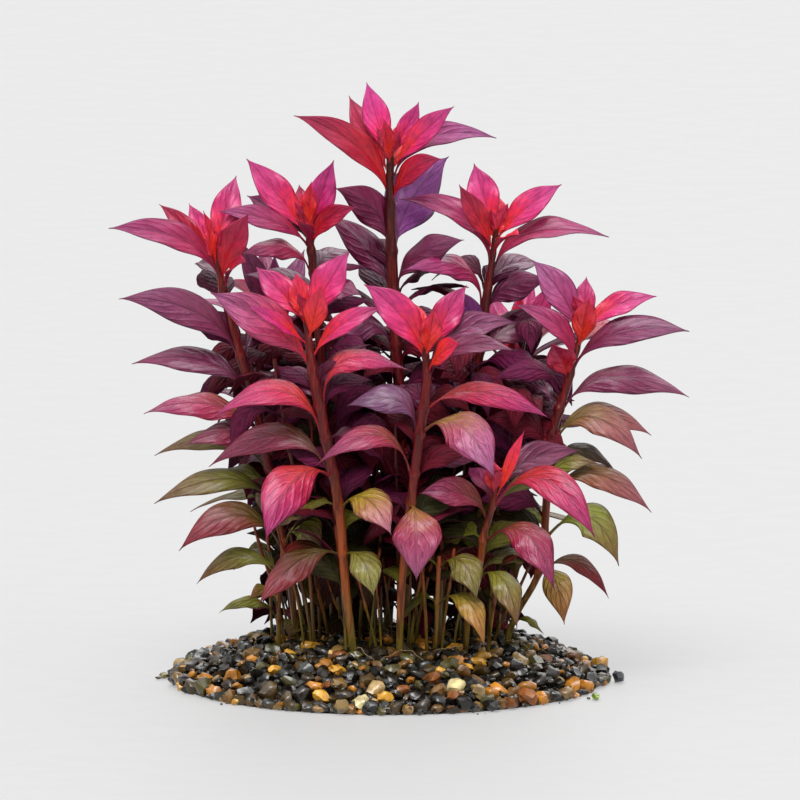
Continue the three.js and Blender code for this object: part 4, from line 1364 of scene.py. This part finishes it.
class PLANT_OT_gravel(bpy.types.Operator):
    """Models the gravel heap: a bed of grit, near-black as painted shade, under loose pebbles"""

    bl_idname = "plant.gravel"
    bl_label = "Gravel"

    def execute(self, context):
        gravel = context.scene.plant_gravel
        pebbles = Pebbles(131)
        chance = pebbles.chance
        low, high = gravel.smallest / MM, gravel.largest / MM
        feet = [(*shoot["path"][0][:2], shoot["radius"]) for shoot in (*SHOOTS.values(), *SPROUTS.values())]

        sizes = [low + (high - low) * chance.random() ** 1.9 for _ in range(TOP_PEBBLES)]
        top = []
        for x, y, size in scattered(chance, sizes, 0.8, HEAP_RADIUS + 1.5):
            if any(math.hypot(x - fx, y - fy) < radius + size * 0.5 for fx, fy, radius in feet):
                continue
            z = max(heap_height(x, y) - size * 0.45, size * 0.45) + chance.uniform(-0.6, 0.5)
            top.append(pebbles.place(x, y, z, size, tilt=40))
        # The lower pebbles, near-black as painted shade
        sizes = [chance.uniform(2.2, 3.2) for _ in range(UNDER_PEBBLES)]
        under = []
        for x, y, size in scattered(chance, sizes, 0.78, HEAP_RADIUS - 1):
            z = max(heap_height(x, y) - UNDER_DEPTH, size * 0.4)
            under.append(pebbles.place(x, y, z, size, chance.choice(SHADED_UNDER_STONES), tilt=40))
        rim = []
        angle = 0.0
        while angle < 2 * math.pi:
            size = chance.uniform(1.8, 3.6)
            radius = HEAP_RADIUS + chance.uniform(-1.2, 1.8)
            rim.append(pebbles.place_round(angle, radius, size, 12))
            angle += size * 1.75 / radius
        half = len(top) // 2
        finished(joined("pebbles_upper", top[:half]), "gravel")
        finished(joined("pebbles_small", top[half:]), "gravel")
        finished(joined("pebbles_lower", under), "gravel")
        finished(joined("pebbles_rim", rim), "gravel")

        deselect()
        bpy.ops.mesh.primitive_grid_add(x_subdivisions=56, y_subdivisions=56, size=2 * HEAP_RADIUS * MM)
        bed = context.object
        for vertex in bed.data.vertices:
            # The square grid is drawn in to a disc, and lifted to lie under the pebbles
            x, y = vertex.co.x / MM, vertex.co.y / MM
            shrink = max(abs(x), abs(y)) / max(math.hypot(x, y), 1e-6)
            x, y = x * shrink, y * shrink
            vertex.co = Vector((x, y, max(heap_height(x, y) - BED_DEPTH, BED_EDGE))) * MM
        bpy.ops.object.mode_set(mode="EDIT")
        bpy.ops.mesh.select_all(action="SELECT")
        bpy.ops.mesh.extrude_region_move()
        bpy.ops.transform.resize(value=(1, 1, 0), center_override=(0, 0, 0))
        bpy.ops.object.mode_set(mode="OBJECT")
        # The grid's faces point up, so extruded downwards they point inwards, and are turned round
        bed.data.flip_normals()
        bpy.ops.object.shade_smooth()
        bed.data.materials.append(material("wet_grit", wet_grit))
        finished(joined("grit_bed", [bed]), "gravel", "gravel_heap")

        finished(joined("loose_pebble", [pebbles.place(*STRAY_PEBBLE)]), "gravel", "stray_pebble")
        crumbs = [pebbles.place(*crumb) for crumb in CRUMBS]
        for _ in range(SMALL_CRUMBS):
            angle = chance.uniform(0, 2 * math.pi)
            radius = HEAP_RADIUS + chance.uniform(3.5, 7)
            crumbs.append(pebbles.place_round(angle, radius, chance.uniform(0.3, 0.8), 25))
        finished(joined("loose_crumbs", crumbs), "gravel")
        for master in pebbles.masters:
            bpy.data.objects.remove(master)
        return {"FINISHED"}


class PLANT_OT_roots(bpy.types.Operator):
    """Models the fine pale roots that lie over the gravel"""

    bl_idname = "plant.roots"
    bl_label = "Roots"

    def execute(self, context):
        chance = random.Random(151)
        lines = []
        for _ in range(ROOTS):
            x, y, _ = chance.choice(list(SHOOTS.values()))["path"][0]
            heading = chance.uniform(-2.6, -0.5)
            line = []
            for step in range(ROOT_STEPS):
                share = step / (ROOT_STEPS - 1)
                x += math.cos(heading) * ROOT_STEP
                y += math.sin(heading) * ROOT_STEP
                heading += chance.uniform(-0.35, 0.35)
                z = heap_height(x, y) + 0.2 + 2.5 * math.sin(share * math.pi) * (1 - share)
                line.append(((x, y, z), ROOT_RADIUS * (1 - 0.6 * share)))
            lines.append(line)
        finished(tubes("hair_roots", lines, material("root_fibre", root_fibre), 1), "stem")
        return {"FINISHED"}


class VIEW3D_PT_plant(bpy.types.Panel):
    bl_label = "Plant"
    bl_idname = "VIEW3D_PT_plant"
    bl_space_type = "VIEW_3D"
    bl_region_type = "UI"
    bl_category = "Plant"

    def draw(self, context):
        for key, kind in GROUPS.items():
            for name in kind.__annotations__:
                self.layout.prop(getattr(context.scene, key), name)
        for operator in OPERATORS:
            self.layout.operator(operator.bl_idname)


GROUPS = {
    "plant_leaves": LeafSettings,
    "plant_stems": StemSettings,
    "plant_gravel": GravelSettings,
    "plant_stage": StageSettings,
}
OPERATORS = (
    PLANT_OT_stage,
    PLANT_OT_stems,
    PLANT_OT_crowns,
    PLANT_OT_pairs,
    PLANT_OT_sprouts,
    PLANT_OT_inner_leaves,
    PLANT_OT_low_shoots,
    PLANT_OT_gravel,
    PLANT_OT_roots,
)
CLASSES = (*GROUPS.values(), *OPERATORS, VIEW3D_PT_plant)


def register():
    for item in CLASSES:
        bpy.utils.register_class(item)
    for name, group in GROUPS.items():
        setattr(bpy.types.Scene, name, bpy.props.PointerProperty(type=group))


def unregister():
    for name in GROUPS:
        delattr(bpy.types.Scene, name)
    for item in reversed(CLASSES):
        bpy.utils.unregister_class(item)


def main():
    register()
    bpy.ops.plant.stage()
    bpy.ops.plant.stems()
    bpy.ops.plant.crowns()
    bpy.ops.plant.pairs()
    bpy.ops.plant.sprouts()
    bpy.ops.plant.inner_leaves()
    bpy.ops.plant.low_shoots()
    bpy.ops.plant.gravel()
    bpy.ops.plant.roots()
    for age in AGES:
        for master in leaf_copies(age):
            bpy.data.objects.remove(master)


if __name__ == "__main__":
    main()
